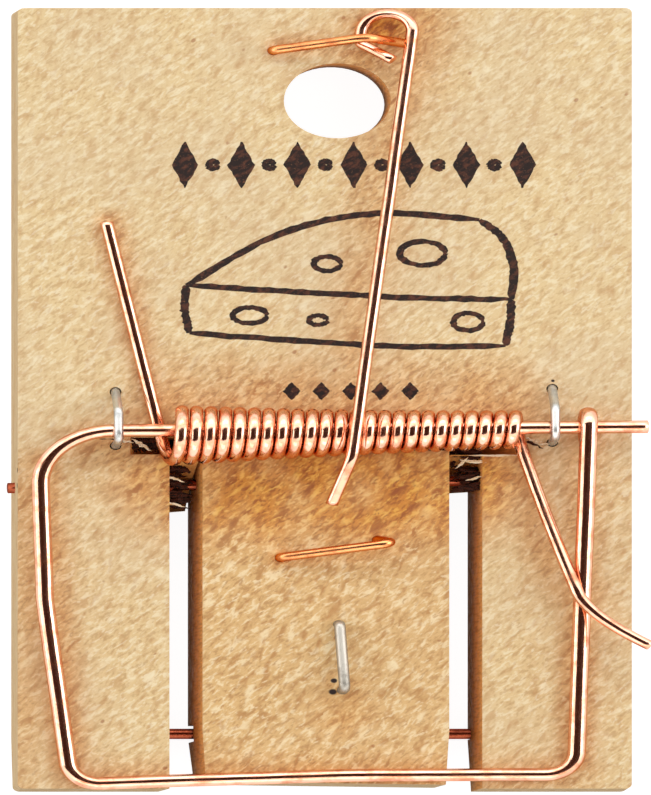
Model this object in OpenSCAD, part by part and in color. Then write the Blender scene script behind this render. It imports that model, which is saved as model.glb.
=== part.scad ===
// Snap mouse trap: a sawn wooden board with a rocking pedal, a sprung striker bent from one wire,
// a hold-down rod with its staple, and the staples that carry the axle, the catch and the bait.
// Millimetres. Origin at the centre of the board's underside, +Y towards the hanging hole, +Z up.

/* [Board] */
// Length of the board
board_l = 98; // [94:0.5:110]
// Width of the board
board_w = 54; // [53:0.5:64]
// Thickness of the board
board_t = 8; // [7.5:0.25:10]
// Radius of the board's sawn corners
board_corner_r = 0.6; // [0.2:0.1:2]
// Diameter of the hanging hole
hang_hole_d = 9.4; // [6:0.1:10]
// Hanging hole: distance of its centre from the end of the board
hang_hole_inset = 11.65; // [10:0.05:14]
// Hanging hole: distance of its centre to the right of the middle
hang_hole_x = 1.1; // [-1:0.1:1.5]
// Length of the planed bevel under the front end
bevel_l = 6.5; // [3:0.1:7]
// Height of that bevel at the end of the board
bevel_h = 1.8; // [0.5:0.1:3]

/* [Pedal and saw cuts] */
// Width of the pedal
pedal_w = 21.6; // [18:0.1:24]
// Pedal and long cuts: distance of their middle to the right of the board's middle
pedal_x = 0.1; // [-0.5:0.1:0.5]
// Amount by which the pedal stops short of the board's end
pedal_short = 0.5; // [0.2:0.1:2]
// Further shortening of the pedal's left corner, where its end is cut askew
pedal_skew = 0.4; // [0:0.1:1]
// Narrowing of each side of the pedal, from the stop wire to its end
pedal_taper = 0.3; // [0:0.05:0.6]
// Width of the two long saw cuts beside the pedal
slot_w = 2.9; // [2:0.1:4]
// Lean of the saw blade in the long cuts, degrees
cut_lean = 5.2; // [0:0.2:6]
// Radius of the saw blade in the long cuts
saw_r = 22; // [20:0.5:30]
// Depth to which the blade dips at the inner end of a long cut
slot_plunge = 14; // [11:0.1:16]
// Where the long cuts run out on the top face, behind the middle of the board
slot_end_y = -7.1; // [-8:0.1:-6.9]
// Width of the cross cut that frees the pedal's inner end
kerf_w = 2.15; // [1.2:0.05:2.4]
// Far wall of the cross cut
kerf_y = -4.9; // [-5:0.05:-4.7]
// Radius of the smaller saw blade in the cross cut
kerf_saw_r = 18; // [18:0.5:24]
// Depth to which that blade dips
kerf_plunge = 12.4; // [12.4:0.1:14]
// Reach of the pedal's inner end into the cross cut
pedal_back = 0.5; // [0:0.1:0.8]
// Clearance in the cracked web beside each long cut's inner end
web_crack = 0.25; // [0.15:0.05:0.4]

/* [Pivot and stop] */
// Diameter of the pivot pin
pin_d = 1.3; // [1:0.05:1.6]
// Pivot pin: distance in front of the board's middle
pin_y = 10.35; // [9.5:0.05:11.5]
// Slight skew of the pivot pin across the board, degrees
pin_skew = 1.4; // [0:0.1:2]
// Length of pin that stands out at the left edge
pin_proud = 0.6; // [0:0.1:1.5]
// Length of pin driven into the right side, beyond the right long cut
pin_bite = 9.5; // [6:0.5:12]
// Running clearance round the pin in the pedal, on the radius
pin_play = 0.06; // [0.03:0.01:0.1]
// Diameter of the stop wire
stop_d = 1.3; // [1:0.05:1.5]
// Stop wire: distance from the board's front end
stop_inset = 7.3; // [7.2:0.1:10]
// Height of the stop wire's centre above the underside
stop_z = 1.2; // [1:0.05:1.6]
// Reach of the stop wire past each long cut
stop_bite = 3.4; // [2.5:0.1:5]
// Length of the stop wire's upturned points
stop_point = 4; // [2.5:0.1:5]
// Drop of the pedal before it meets the stop wire
pedal_drop = 1.05; // [1:0.05:1.3]

/* [Striker] */
// Diameter of the striker's wire
striker_d = 1.6; // [1.4:0.05:1.7]
// Axle: distance in front of the board's middle
axle_y = 4.04; // [3.9:0.02:4.2]
// Slight skew of the axle across the board, degrees
axle_skew = 0.6; // [0:0.1:1]
// Length of axle right of the board's middle
axle_right = 28.2; // [27:0.1:31]
// Left corner of the frame, from the board's middle
frame_left = 25.3; // [23.5:0.1:26]
// Place of the right leg and its eye, from the board's middle
frame_right = 22.95; // [22:0.05:25]
// Reach of the frame from axle to striking bar
frame_reach = 43.85; // [38:0.05:44]
// Amount by which the bar's left end lies further out than its right end
bar_skew = 0.75; // [0:0.05:1.2]
// How far the middle of the bar bows in towards the axle
bar_bow = 0.5; // [0.1:0.1:1]
// Amount by which the left leg slants in towards the bar
left_slant = 2.45; // [0:0.05:4]
// Amount by which the right leg slants in towards the bar
right_slant = 1.4; // [0:0.1:2]
// Length of the left leg before it slants in
left_straight = 21; // [12:0.5:26]
// Bend radius between axle and left leg
shoulder_r = 6.5; // [3:0.1:8]
// Bend radius at the bar's two corners
bar_corner_r = 2.8; // [2:0.1:4]
// Gap between the eye and the axle that it goes round
eye_gap = 0.1; // [0.06:0.02:0.3]
// Gap left under wires that lie on the board
rest_gap = 0.1; // [0.05:0.01:0.2]

/* [Spring] */
// Diameter of the spring's wire, thin enough that the coils stay apart
spring_d = 0.86; // [0.6:0.02:0.87]
// Number of coils
coils = 24; // [18:1:24]
// Advance per coil
coil_pitch = 1.28; // [1.28:0.01:1.3]
// Left face of the coil, from the board's middle
coil_left = 14.2; // [13.8:0.1:14.4]
// Outer diameter at the coil's left end
coil_d_left = 7.7; // [7:0.1:8]
// Outer diameter half way along
coil_d_mid = 5.9; // [5.7:0.1:6.2]
// Outer diameter at the right end
coil_d_right = 4.9; // [4.8:0.05:5.2]
// How far the coil's left end lies in front of the axle
coil_forward_left = 0.72; // [0:0.02:1.2]
// How far the coil's right end lies in front of the axle
coil_forward_right = 0.22; // [0:0.02:0.5]
// Reach of the left leg over the board, behind the coil
left_leg_reach = 27; // [20:0.5:29]
// Drift of the left leg away from the coil over that reach
left_leg_drift = 4.5; // [3:0.1:7]
// Reach of the right leg from the coil to where it crosses the striker's leg
right_leg_reach = 21.7; // [17:0.1:23]
// Reach of the spring's right tip past that crossing, sideways
right_tip_side = 5.8; // [4:0.1:6]
// Reach of the spring's right tip past that crossing, forwards
right_tip_front = 5.7; // [4:0.1:8]
// Gap between the spring's right leg and the striker's leg under it
press_gap = 0.3; // [0.2:0.05:0.5]

/* [Hold-down rod] */
// Diameter of the rod's wire
rod_d = 1.15; // [0.9:0.05:1.2]
// Eye centre, right of the middle
eye_x = 5.3; // [5:0.1:6.5]
// Eye centre, from the board's rear end
eye_inset = 3.45; // [3.3:0.05:4.5]
// Height of the eye's centre above the board
eye_lift = 1.55; // [1.5:0.05:1.8]
// Half the eye's width, to the middle of the wire
eye_half_w = 2.35; // [1.95:0.05:2.5]
// Half the eye's length, to the middle of the wire
eye_half_l = 2.65; // [2.5:0.05:2.8]
// Tilt of the eye, right strand up, degrees
eye_roll = 21.5; // [20:0.1:26]
// Turn of the rod away from the board's long axis, degrees
rod_turn = 5.95; // [5:0.05:6.5]
// Reach of the rod past the axle, to its bend
rod_past_axle = 3.5; // [2:0.1:5]
// Length of the bent tip
rod_tip_l = 6.5; // [4:0.1:7]
// Downward slope of the tip, degrees
rod_tip_drop = 20; // [10:1:25]
// Further turn of the tip sideways, degrees
rod_tip_turn = 10; // [0:1:16]
// Gap between the rod and the coil that it rests on
rod_gap = 0.18; // [0.15:0.01:0.4]

/* [Staples] */
// Wire of the copper-plated staples
copper_staple_d = 1.1; // [0.9:0.05:1.2]
// Wire of the galvanised staples
grey_staple_d = 1; // [0.8:0.05:1.1]
// Depth of the staples' legs in the wood
nail_depth = 5.3; // [4:0.1:6]
// Clearance round pins and legs driven into the wood, on the radius
drive_fit = 0.02; // [0.01:0.005:0.04]
// Clearance between the axle and the staples over it
axle_play = 0.15; // [0.1:0.01:0.25]
// Left axle staple, left of the middle
left_staple_x = 18.4; // [17:0.1:19.5]
// Right axle staple, right of the middle
right_staple_x = 20; // [19.3:0.1:20.4]
// Distance of the axle staples' rear feet behind the axle
axle_staple_back = 5; // [4.5:0.1:6]
// Length of the rod staple's crown, from its left foot to the eye's middle
rod_staple_reach = 9.8; // [8.5:0.1:11]
// Height of the rod staple's crown above the board
rod_staple_h = 4.2; // [4.1:0.02:4.3]
// Catch staple: distance of its crown in front of the pivot pin
catch_front = 8.7; // [8:0.1:10]
// Catch staple: width of its crown
catch_w = 9.6; // [8:0.1:11]
// Catch staple: height of its right corner above the pedal
catch_h = 4; // [3.6:0.1:4.6]
// Bait staple: distance of its rear foot in front of the pivot pin
bait_front = 18; // [16:0.1:20]
// Bait staple: length of its crown
bait_l = 8.3; // [6:0.1:9]
// Bait staple: height of its front corner above the pedal
bait_h = 2.6; // [1.8:0.1:4]

/* [Hidden] */

// Facets of round holes and wires
hole_facets = 72;
wire_facets = 32;
// Overshoot of cutting shapes past the faces they cut
over = 1;
// Wire is a hair fuller in its bends, and each straight runs a little way into them
bend_swell = 0.02;
bend_lap = 0.04;

board_end = board_l / 2;
pedal_side = pedal_w / 2;
slot_outer = pedal_side + slot_w;
kerf_front = kerf_y - kerf_w;
pin_z = board_t / 2;
stop_y = -board_end + stop_inset;
stop_reach = slot_outer + stop_bite;

// The eye passes under the axle, so the axle lies one wire higher than the board allows the eye
eye_r = striker_d + eye_gap;
eye_bend = eye_r - bend_lap;
axle_z = board_t + rest_gap + striker_d / 2 + eye_r + 0.05;
bar_z = board_t + rest_gap + striker_d / 2 - axle_z;
// The right leg rises from the bar and meets the eye as a tangent
leg_rise = atan(-bar_z / frame_reach) + asin(eye_r / norm([frame_reach, bar_z]));

// Height of the right leg above the axle, at a distance behind it
function leg_height(y) = bar_z + tan(leg_rise) * (y + frame_reach);

coil_l = coils * coil_pitch + spring_d;

// Frame of the rod's eye: directions along the rod, away from it, to the right and out of the eye
rod_on_coil_y = -axle_y - 0.45;
eye_centre = [eye_x, board_end - eye_inset, board_t + eye_lift];
strand_z = eye_centre.z + eye_half_w * sin(eye_roll);
rod_over_coil_x = eye_x + eye_half_w - (eye_centre.y - rod_on_coil_y) * tan(rod_turn);
rod_on_coil_z = coil_top(rod_over_coil_x) + rod_gap + rod_d / 2;
rod_rise = atan((rod_on_coil_z - strand_z) * cos(rod_turn) / (eye_centre.y - rod_on_coil_y));
along_rod = [
    -sin(rod_turn) * cos(rod_rise),
    -cos(rod_turn) * cos(rod_rise),
    sin(rod_rise)
];
across_rod = [cos(rod_turn), -sin(rod_turn), 0];
eye_right = across_rod * cos(eye_roll) + cross(across_rod, along_rod) * -sin(eye_roll);
rod_l = (eye_centre.y + axle_y + rod_past_axle) / -along_rod.y;

copper = [0.83, 0.50, 0.36];
zinc = [0.78, 0.78, 0.76];
beech = [0.87, 0.74, 0.53];

// ---------- vectors ----------

function unit(v) = v / norm(v);

// How far a bend of the given radius reaches along its two straights
function bend_reach(before, corner, after, radius) =
    radius / tan(acos(unit(before - corner) * unit(after - corner)) / 2);

// ---------- round wire ----------

// Straight round wire from a to b
module wire_run(a, b, d) {
    along = b - a;
    tilt = acos(along.z / norm(along));
    heading = atan2(along.y, along.x);
    translate(a)
        rotate([0, tilt, heading])
            cylinder(d = d, h = norm(along), $fn = wire_facets);
}

// Round bend at a corner: a sector of a ring that meets both straights squarely
module wire_bend(before, corner, after, radius, d) {
    back = unit(before - corner);
    onward = unit(after - corner);
    opening = acos(back * onward);
    centre = corner + unit(back + onward) * radius / sin(opening / 2);
    out = unit(corner + back * bend_reach(before, corner, after, radius) - centre);
    axis = cross(out, -back);
    multmatrix([
        [out.x, -back.x, axis.x, centre.x],
        [out.y, -back.y, axis.y, centre.y],
        [out.z, -back.z, axis.z, centre.z],
        [0, 0, 0, 1]
    ])
        rotate_extrude(angle = 180 - opening, $fn = hole_facets)
            translate([radius, 0])
                circle(d = d + bend_swell, $fn = wire_facets);
}

// Wire through a list of points, with one bend radius for each inner point
module bent_wire(points, radii, d) {
    last = len(points) - 1;
    reach = [
        for (i = [0 : last])
            i == 0 || i == last ? 0
                : bend_reach(points[i - 1], points[i], points[i + 1], radii[i - 1]) - bend_lap
    ];
    union() {
        for (i = [0 : last - 1]) {
            way = unit(points[i + 1] - points[i]);
            wire_run(points[i] + way * reach[i], points[i + 1] - way * reach[i + 1], d);
        }
        for (i = [1 : last - 1])
            wire_bend(points[i - 1], points[i], points[i + 1], radii[i - 1], d);
    }
}

// ---------- the axle's own frame ----------

// Children are placed with X along the axle and the axle as their origin
module on_axle() {
    translate([0, -axle_y, axle_z])
        rotate([0, 0, axle_skew])
            children();
}

// Where the axle lies at a given X
function axle_at(x) = [x, -axle_y + x * tan(axle_skew), axle_z];

// ---------- staples ----------

// Axle staple: slanted rear leg, crown over the axle and front leg before it. The crown and the
// front leg both keep the same play to the axle; their angles are those of the directions that
// face away from it.
crown_facing = 78;
front_facing = 174;

function axle_staple_points(x) =
    let (hold_r = striker_d / 2 + grey_staple_d / 2 + axle_play)
    let (axle = axle_at(x))
    let (shoulder_back = 0.48 * axle_staple_back)
    let (shoulder_lift = (hold_r - shoulder_back * cos(crown_facing)) / sin(crown_facing))
    let (shoulder = axle + [0, shoulder_back, shoulder_lift])
    let (corner_r = hold_r / cos((front_facing - crown_facing) / 2))
    let (corner_facing = (front_facing + crown_facing) / 2)
    let (corner = axle + corner_r * [0, cos(corner_facing), sin(corner_facing)])
    let (foot = [x, axle.y + axle_staple_back, board_t])
    let (down = [0, sin(front_facing - 180), -cos(front_facing - 180)])
    [
        foot + unit(foot - shoulder) * nail_depth,
        shoulder,
        corner,
        corner + down * (corner.z - board_t + nail_depth)
    ];

axle_staple_bends = [1.1, 1.1];

// The rod staple's crown peaks over the eye's left strand, and its right leg goes down through the eye
rod_staple_foot = [eye_x - rod_staple_reach, eye_centre.y - 0.72 * eye_half_l, board_t];
rod_staple_top = [
    eye_x - 0.81 * eye_half_w,
    eye_centre.y - 0.19 * eye_half_l,
    board_t + rod_staple_h
];
rod_staple_end = [eye_x + 0.83 * eye_half_w, eye_centre.y - 0.4 * eye_half_l, board_t];
rod_staple_points = [
    rod_staple_foot - [0, 0, nail_depth],
    rod_staple_foot + [0, 0, copper_staple_d],
    rod_staple_top,
    rod_staple_end + unit(rod_staple_end - rod_staple_top) * nail_depth
];
rod_staple_bends = [0.65, 1.6];

// The catch staple lies slightly askew, and its right leg slants back under its crown
catch_y = -pin_y - catch_front;
catch_left = [-0.4 * catch_w, catch_y - 0.1 * catch_w, board_t];
catch_corner = [0.6 * catch_w, catch_y + 0.07 * catch_w, board_t + catch_h];
catch_foot = catch_corner + [-0.11 * catch_w, 0.06 * catch_w, -catch_h];
catch_points = [
    catch_left - [0, 0, nail_depth],
    catch_left + [0, 0, copper_staple_d * 0.9],
    catch_corner,
    catch_foot + unit(catch_foot - catch_corner) * nail_depth
];
catch_bends = [0.8, 0.75];

bait_foot = [0.15 * bait_l, -pin_y - bait_front, board_t];
bait_corner = bait_foot + [0.04 * bait_l, -bait_l, bait_h];
bait_points = [
    bait_foot - [0, 0, nail_depth],
    bait_foot + [0, 0, grey_staple_d * 0.8],
    bait_corner,
    bait_corner - [0, 0, bait_h + nail_depth]
];
bait_bends = [0.7, 0.7];

stop_points = [
    [-stop_reach, stop_y, stop_z + stop_point],
    [-stop_reach, stop_y, stop_z],
    [stop_reach, stop_y, stop_z],
    [stop_reach, stop_y, stop_z + stop_point]
];
stop_bends = [1, 1];

module driven(points, bends, d) {
    bent_wire(points, bends, d + 2 * drive_fit);
}

// ---------- wood ----------

// Plank with rounded corners in plan, as long and wide as the board
module plank() {
    linear_extrude(board_t)
        hull()
            for (x = [-1, 1], y = [-1, 1])
                translate([x * (board_w / 2 - board_corner_r), y * (board_end - board_corner_r)])
                    circle(r = board_corner_r, $fn = wire_facets);
}

// Wedge planed off under the front end
module front_bevel() {
    rotate([90, 0, 90])
        linear_extrude(board_w + 2 * over, center = true)
            polygon([
                [-board_end + bevel_l, 0],
                [-board_end - over, bevel_h * (bevel_l + over) / bevel_l],
                [-board_end - over, -over],
                [-board_end + bevel_l, -over]
            ]);
}

// Cross cut: a saw blade dipped straight down across the grain
module cross_cut() {
    translate([0, kerf_y, board_t - kerf_plunge + kerf_saw_r])
        rotate([90, 0, 0])
            cylinder(r = kerf_saw_r, h = kerf_w, $fn = 144);
}

// Long cut: the blade dips at the inner end, then runs out through the front
module long_cut() {
    blade_z = board_t - slot_plunge + saw_r;
    blade_y = slot_end_y - sqrt(saw_r * saw_r - pow(blade_z - board_t, 2));
    translate([pedal_side, blade_y, blade_z])
        rotate([0, 90, 0])
            cylinder(r = saw_r, h = slot_w, $fn = 144);
    translate([pedal_side, -board_end - over, -2 * over])
        cube([slot_w, blade_y + board_end + over, board_t + 4 * over]);
}

// Leans its children as the saw leaned: what lies on the top face stays, what is below goes left
module leaned() {
    translate([pedal_x, 0, board_t])
        rotate([0, cut_lean, 0])
            translate([0, 0, -board_t])
                children();
}

// Places its children with X along the pivot pin
module on_pin() {
    translate([0, -pin_y, pin_z])
        rotate([0, 0, pin_skew])
            children();
}

module pin_hole(play) {
    on_pin()
        translate([-board_w / 2 - over, 0, 0])
            rotate([0, 90, 0])
                cylinder(
                    d = pin_d + 2 * play,
                    h = board_w / 2 + over + slot_outer + pin_bite,
                    $fn = wire_facets
                );
}

module baseboard() {
    opening = pedal_side + web_crack;
    groove_w = stop_d + 2 * drive_fit;
    color(beech)
        difference() {
            plank();
            front_bevel();
            translate([hang_hole_x, board_end - hang_hole_inset, -over])
                cylinder(d = hang_hole_d, h = board_t + 2 * over, $fn = hole_facets);
            cross_cut();
            leaned() {
                long_cut();
                mirror([1, 0, 0])
                    long_cut();
                translate([-opening, -board_end - over, -2 * over])
                    cube([2 * opening, board_end + over + kerf_front + 0.01, board_t + 4 * over]);
            }
            pin_hole(drive_fit);
            driven(stop_points, stop_bends, stop_d);
            translate([-stop_reach, stop_y - groove_w / 2, -over])
                cube([2 * stop_reach, groove_w, stop_z + over]);
            driven(axle_staple_points(-left_staple_x), axle_staple_bends, grey_staple_d);
            driven(axle_staple_points(right_staple_x), axle_staple_bends, grey_staple_d);
            driven(rod_staple_points, rod_staple_bends, copper_staple_d);
        }
}

module pedal() {
    end_y = -board_end + pedal_short;
    groove_w = stop_d + 0.8;
    color(beech)
        difference() {
            intersection() {
                leaned()
                    translate([0, 0, -2 * over])
                        linear_extrude(board_t + 4 * over)
                            polygon([
                                [-pedal_side, kerf_front + pedal_back],
                                [pedal_side, kerf_front + pedal_back],
                                [pedal_side, stop_y],
                                [pedal_side - pedal_taper, end_y],
                                [-pedal_side + pedal_taper, end_y + pedal_skew],
                                [-pedal_side, stop_y]
                            ]);
                translate([-board_w / 2, -board_end, 0])
                    cube([board_w, board_l, board_t]);
            }
            front_bevel();
            pin_hole(pin_play);
            translate([-slot_outer, stop_y - groove_w / 2, -over])
                cube([2 * slot_outer, groove_w, over + stop_z + stop_d / 2 + pedal_drop]);
            driven(catch_points, catch_bends, copper_staple_d);
            driven(bait_points, bait_bends, grey_staple_d);
        }
}

module pivot_pin() {
    left = -board_w / 2 - pin_proud;
    color(copper)
        on_pin()
            translate([left, 0, 0])
                rotate([0, 90, 0])
                    cylinder(d = pin_d, h = slot_outer + pin_bite - over - left, $fn = wire_facets);
}

module stop_wire() {
    color(copper)
        bent_wire(stop_points, stop_bends, stop_d);
}

// ---------- striker ----------

striker_bends = [shoulder_r, 14, bar_corner_r, 150, bar_corner_r, eye_bend, eye_bend, eye_bend];

// One wire: right end of the axle, left leg, striking bar, right leg, then the eye round the axle
module striker() {
    color(copper)
        on_axle()
            bent_wire([
                [axle_right, 0, 0],
                [-frame_left, 0, 0],
                [-frame_left + 0.3, -left_straight, bar_z * left_straight / frame_reach],
                [-frame_left + left_slant, -frame_reach - bar_skew / 2, bar_z],
                [2, -frame_reach + bar_bow, bar_z],
                [frame_right - right_slant, -frame_reach + bar_skew / 2, bar_z],
                [frame_right, eye_r, leg_height(eye_r)],
                [frame_right, eye_r, -eye_r],
                [frame_right, -eye_r, -eye_r],
                [frame_right, -eye_r, 0.05]
            ], striker_bends, striker_d);
}

// ---------- spring ----------

rings_per_coil = 8;
tube_sides = 6;

// Outer radius of the coil at a share u of its length: a parabola through three diameters
function coil_r(u) =
    let (a = coil_d_left, m = coil_d_mid, b = coil_d_right)
    (a + (4 * m - 3 * a - b) * u + 2 * (a + b - 2 * m) * u * u) / 2;

// Height of the coil's top above the underside of the board, at a given X
function coil_top(x) =
    let (u = (x + coil_left) / coil_l)
    board_t + rest_gap + 2 * coil_r(u);

// Point of the coil's centre line at an angle counted from the bottom of its left end
function coil_point(angle) =
    let (u = angle / (360 * coils))
    let (r = coil_r(u) - spring_d / 2)
    let (lead_in = 0.7 * pow(max(0, 1 - angle / 180), 2))
    [
        -coil_left + spring_d / 2 + coil_pitch * angle / 360 - lead_in,
        -coil_forward_left * (1 - u) - coil_forward_right * u - r * sin(angle),
        board_t + rest_gap + spring_d / 2 + r - axle_z - r * cos(angle)
    ];

leg_start = coil_point(0);
leg_end = coil_point(360 * coils);

left_leg = [
    for (s = [1, 0.97, 0.66, 0.33, 0.1])
        leg_start + [-left_leg_drift * s, left_leg_reach * s, 0]
];

// The right leg crosses over the striker's leg with the press gap between them and turns outwards
cross_y = leg_end.y - right_leg_reach;
cross_z = leg_height(cross_y) + striker_d / 2 + press_gap + spring_d / 2;
crossing = [frame_right + right_slant * cross_y / frame_reach, cross_y, cross_z];
right_tip = crossing + [right_tip_side, -right_tip_front, spring_d / 3];

// Smooth run from a to c that leaves and arrives along the corner at b
function curve(a, b, c, t) = a * pow(1 - t, 2) + b * 2 * t * (1 - t) + c * t * t;

right_start = leg_end + [0.05, -1.2, 0.02];
right_knee = crossing + [-0.03 * right_leg_reach, 0.07 * right_leg_reach, -spring_d / 6];
tip_knee = crossing + [0, -0.28 * right_tip_front, spring_d / 5];
right_leg = [
    for (t = [0 : 0.25 : 1])
        curve(right_start, leg_end + [0.09, -0.47, 0.06] * right_leg_reach, right_knee, t),
    for (t = [0.2 : 0.2 : 1])
        curve(right_knee, tip_knee, right_tip - unit(right_tip - tip_knee) * spring_d * 1.2, t),
    right_tip
];

spring_line = concat(
    left_leg,
    [for (i = [0 : rings_per_coil * coils]) coil_point(360 * i / rings_per_coil)],
    right_leg
);

// Least gap of the spring to itself, measured between the points of its centre line
spring_gap = min([
    for (i = [0 : len(spring_line) - 1])
        for (j = [i + 5 : 1 : len(spring_line) - 1])
            norm(spring_line[i] - spring_line[j])
]) - spring_d;
echo(least_spring_gap_mm = spring_gap);

// One unbroken tube along the points of a line, its faces triangles
module tube(line, d, sides) {
    last = len(line) - 1;
    way = [
        for (i = [0 : last])
            unit(line[min(i + 1, last)] - line[max(i - 1, 0)])
    ];
    points = [
        for (i = [0 : last])
            let (u = unit(cross(way[i], [1, 0, 0])))
            let (v = cross(way[i], u))
            for (k = [0 : sides - 1])
                line[i] + d / 2 * (u * cos(360 * k / sides) + v * sin(360 * k / sides))
    ];
    walls = [
        for (i = [0 : last - 1])
            for (k = [0 : sides - 1])
                let (p = i * sides + k)
                let (q = i * sides + (k + 1) % sides)
                for (f = [[p, p + sides, q], [q, p + sides, q + sides]])
                    f
    ];
    caps = [
        for (k = [1 : sides - 2])
            for (f = [[0, k, k + 1], [last * sides, last * sides + k + 1, last * sides + k]])
                f
    ];
    polyhedron(points, concat(walls, caps));
}

module spring() {
    color(copper)
        on_axle()
            tube(spring_line, spring_d, tube_sides);
}

// ---------- hold-down rod ----------

// Point in the rod's own frame: to the right, and away from the tip
function by_eye(right, away) = eye_centre + eye_right * right - along_rod * away;

rod_bend = by_eye(eye_half_w, -rod_l);
tip_way = [
    -sin(rod_turn + rod_tip_turn) * cos(rod_tip_drop),
    -cos(rod_turn + rod_tip_turn) * cos(rod_tip_drop),
    -sin(rod_tip_drop)
];

module hold_down_rod() {
    color(copper)
        bent_wire([
            rod_bend + tip_way * rod_tip_l,
            rod_bend,
            by_eye(eye_half_w, eye_half_l),
            by_eye(-eye_half_w, eye_half_l),
            by_eye(-eye_half_w, -0.5 * eye_half_w),
            by_eye(eye_half_w - 1.25 * rod_d, -1.35 * eye_half_w)
        ], [4, eye_half_w - bend_lap, eye_half_w - bend_lap, 0.9], rod_d);
}

// ---------- staples ----------

module rod_staple() {
    color(copper)
        bent_wire(rod_staple_points, rod_staple_bends, copper_staple_d);
}

module catch_staple() {
    color(copper)
        bent_wire(catch_points, catch_bends, copper_staple_d);
}

module bait_staple() {
    color(zinc)
        bent_wire(bait_points, bait_bends, grey_staple_d);
}

module left_axle_staple() {
    color(zinc)
        bent_wire(axle_staple_points(-left_staple_x), axle_staple_bends, grey_staple_d);
}

module right_axle_staple() {
    color(zinc)
        bent_wire(axle_staple_points(right_staple_x), axle_staple_bends, grey_staple_d);
}

baseboard();
pedal();
pivot_pin();
stop_wire();
striker();
spring();
hold_down_rod();
rod_staple();
catch_staple();
bait_staple();
left_axle_staple();
right_axle_staple();
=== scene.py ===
# %% [markdown]
# # Snap mouse trap
# A sawn beech board carries everything: a rocking pedal, a striker bent from one copper-plated wire,
# the long spring that drives it, a hold-down rod and a few staples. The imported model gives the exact
# pieces. This lesson dresses them: the wood gets its grain and saw marks, and each bent wire is
# redrawn as a smooth tube along the same centre line.

# %% Load the fixed frame
import math

import bpy
import numpy as np
from mathutils import Matrix, Vector


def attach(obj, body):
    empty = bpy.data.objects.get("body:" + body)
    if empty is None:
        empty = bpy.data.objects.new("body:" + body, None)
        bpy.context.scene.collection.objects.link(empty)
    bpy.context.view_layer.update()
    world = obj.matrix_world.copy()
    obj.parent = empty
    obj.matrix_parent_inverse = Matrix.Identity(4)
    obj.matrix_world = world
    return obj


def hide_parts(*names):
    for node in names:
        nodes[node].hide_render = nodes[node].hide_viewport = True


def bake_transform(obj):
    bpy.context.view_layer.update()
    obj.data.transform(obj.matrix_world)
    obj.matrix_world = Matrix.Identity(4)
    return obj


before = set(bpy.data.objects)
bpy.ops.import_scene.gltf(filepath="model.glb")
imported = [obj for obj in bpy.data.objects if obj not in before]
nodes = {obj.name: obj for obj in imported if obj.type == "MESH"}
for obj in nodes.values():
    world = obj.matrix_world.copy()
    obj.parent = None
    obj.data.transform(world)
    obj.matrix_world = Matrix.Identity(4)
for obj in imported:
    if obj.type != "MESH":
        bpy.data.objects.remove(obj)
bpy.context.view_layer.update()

mm = 0.001

# %% [markdown]
# ## The view
# The trap is seen from almost straight above, a little from its left and from its front, and it
# looks 1.43 times wider than it is. Stretching the trap would spoil its sizes, so the camera does it.
# The camera is orthographic, and its picture is high enough to hold the whole trap from any side. Its
# side axis and its upright axis lean towards the view direction here, so a step along either covers
# less of the trap: the upright one brings the trap closer, and the side one also widens it. The lean
# goes into the parent inverse, so the camera itself stays an ordinary one.

# %% Camera
WIDENING = 1.4285
VIEW_DISTANCE = 1.5
VIEW_HEIGHT = 99.6 * mm
PICTURE_HEIGHT = 135 * mm
view_target = Vector((0.06 * mm, 0.1 * mm, 8 * mm))
view_back = Vector((-0.0715, -0.063, 1)).normalized()


def across_view(direction):
    """The part of a direction that lies square to the view, as a unit vector."""
    direction = Vector(direction)
    return (direction - view_back * direction.dot(view_back)).normalized()


view_right, view_up = across_view((1, 0, 0)), across_view((0, 1, 0))


def leaning(direction, shortening):
    """A unit vector that leans towards the view, so that it covers that share across the view."""
    return direction * shortening + view_back * math.sqrt(1 - shortening ** 2)


closeness = VIEW_HEIGHT / PICTURE_HEIGHT
leaning_right, leaning_up = leaning(view_right, closeness / WIDENING), leaning(view_up, closeness)

camera = bpy.data.cameras.new("camera")
camera.type = "ORTHO"
camera.sensor_fit = "VERTICAL"
camera.ortho_scale = PICTURE_HEIGHT
camera.clip_start, camera.clip_end = 0.01, 20
camera_object = bpy.data.objects.new("camera", camera)
bpy.context.scene.collection.objects.link(camera_object)
bpy.context.scene.camera = camera_object


def axes_at(right, up, back, place):
    """Matrix with the three directions as columns, at a place."""
    matrix = Matrix((right, up, back)).transposed().to_4x4()
    matrix.translation = place
    return matrix


camera_place = view_target + view_back * VIEW_DISTANCE
plain_view = axes_at(view_up.cross(view_back), view_up, view_back, camera_place)
wide_view = axes_at(leaning_right, leaning_up, view_back, camera_place)
camera_holder = bpy.data.objects.new("camera_holder", None)
bpy.context.scene.collection.objects.link(camera_holder)
camera_object.matrix_basis = plain_view
camera_object.parent = camera_holder
camera_object.matrix_parent_inverse = wide_view @ plain_view.inverted()
print("picture, mm:", round(PICTURE_HEIGHT / mm), " closeness:", round(closeness, 3))

# %% [markdown]
# ## Node helpers
# A finish could be a picture wrapped round each piece, but a picture blurs up close and has seams. A
# procedural finish is arithmetic on the place of each point instead. These helpers keep the
# arithmetic short: `Nodes` wraps one node tree, and each call adds one node and returns its output.

# %% Node helpers


def link(tree, a, b):
    """Joins two sockets of a node tree."""
    tree.links.new(a, b)


def new_material(name):
    """Empty node material: its tree and its output node."""
    material = bpy.data.materials.new(name)
    material.use_nodes = True
    tree = material.node_tree
    tree.nodes.clear()
    output = tree.nodes.new("ShaderNodeOutputMaterial")
    return material, tree, output


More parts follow.
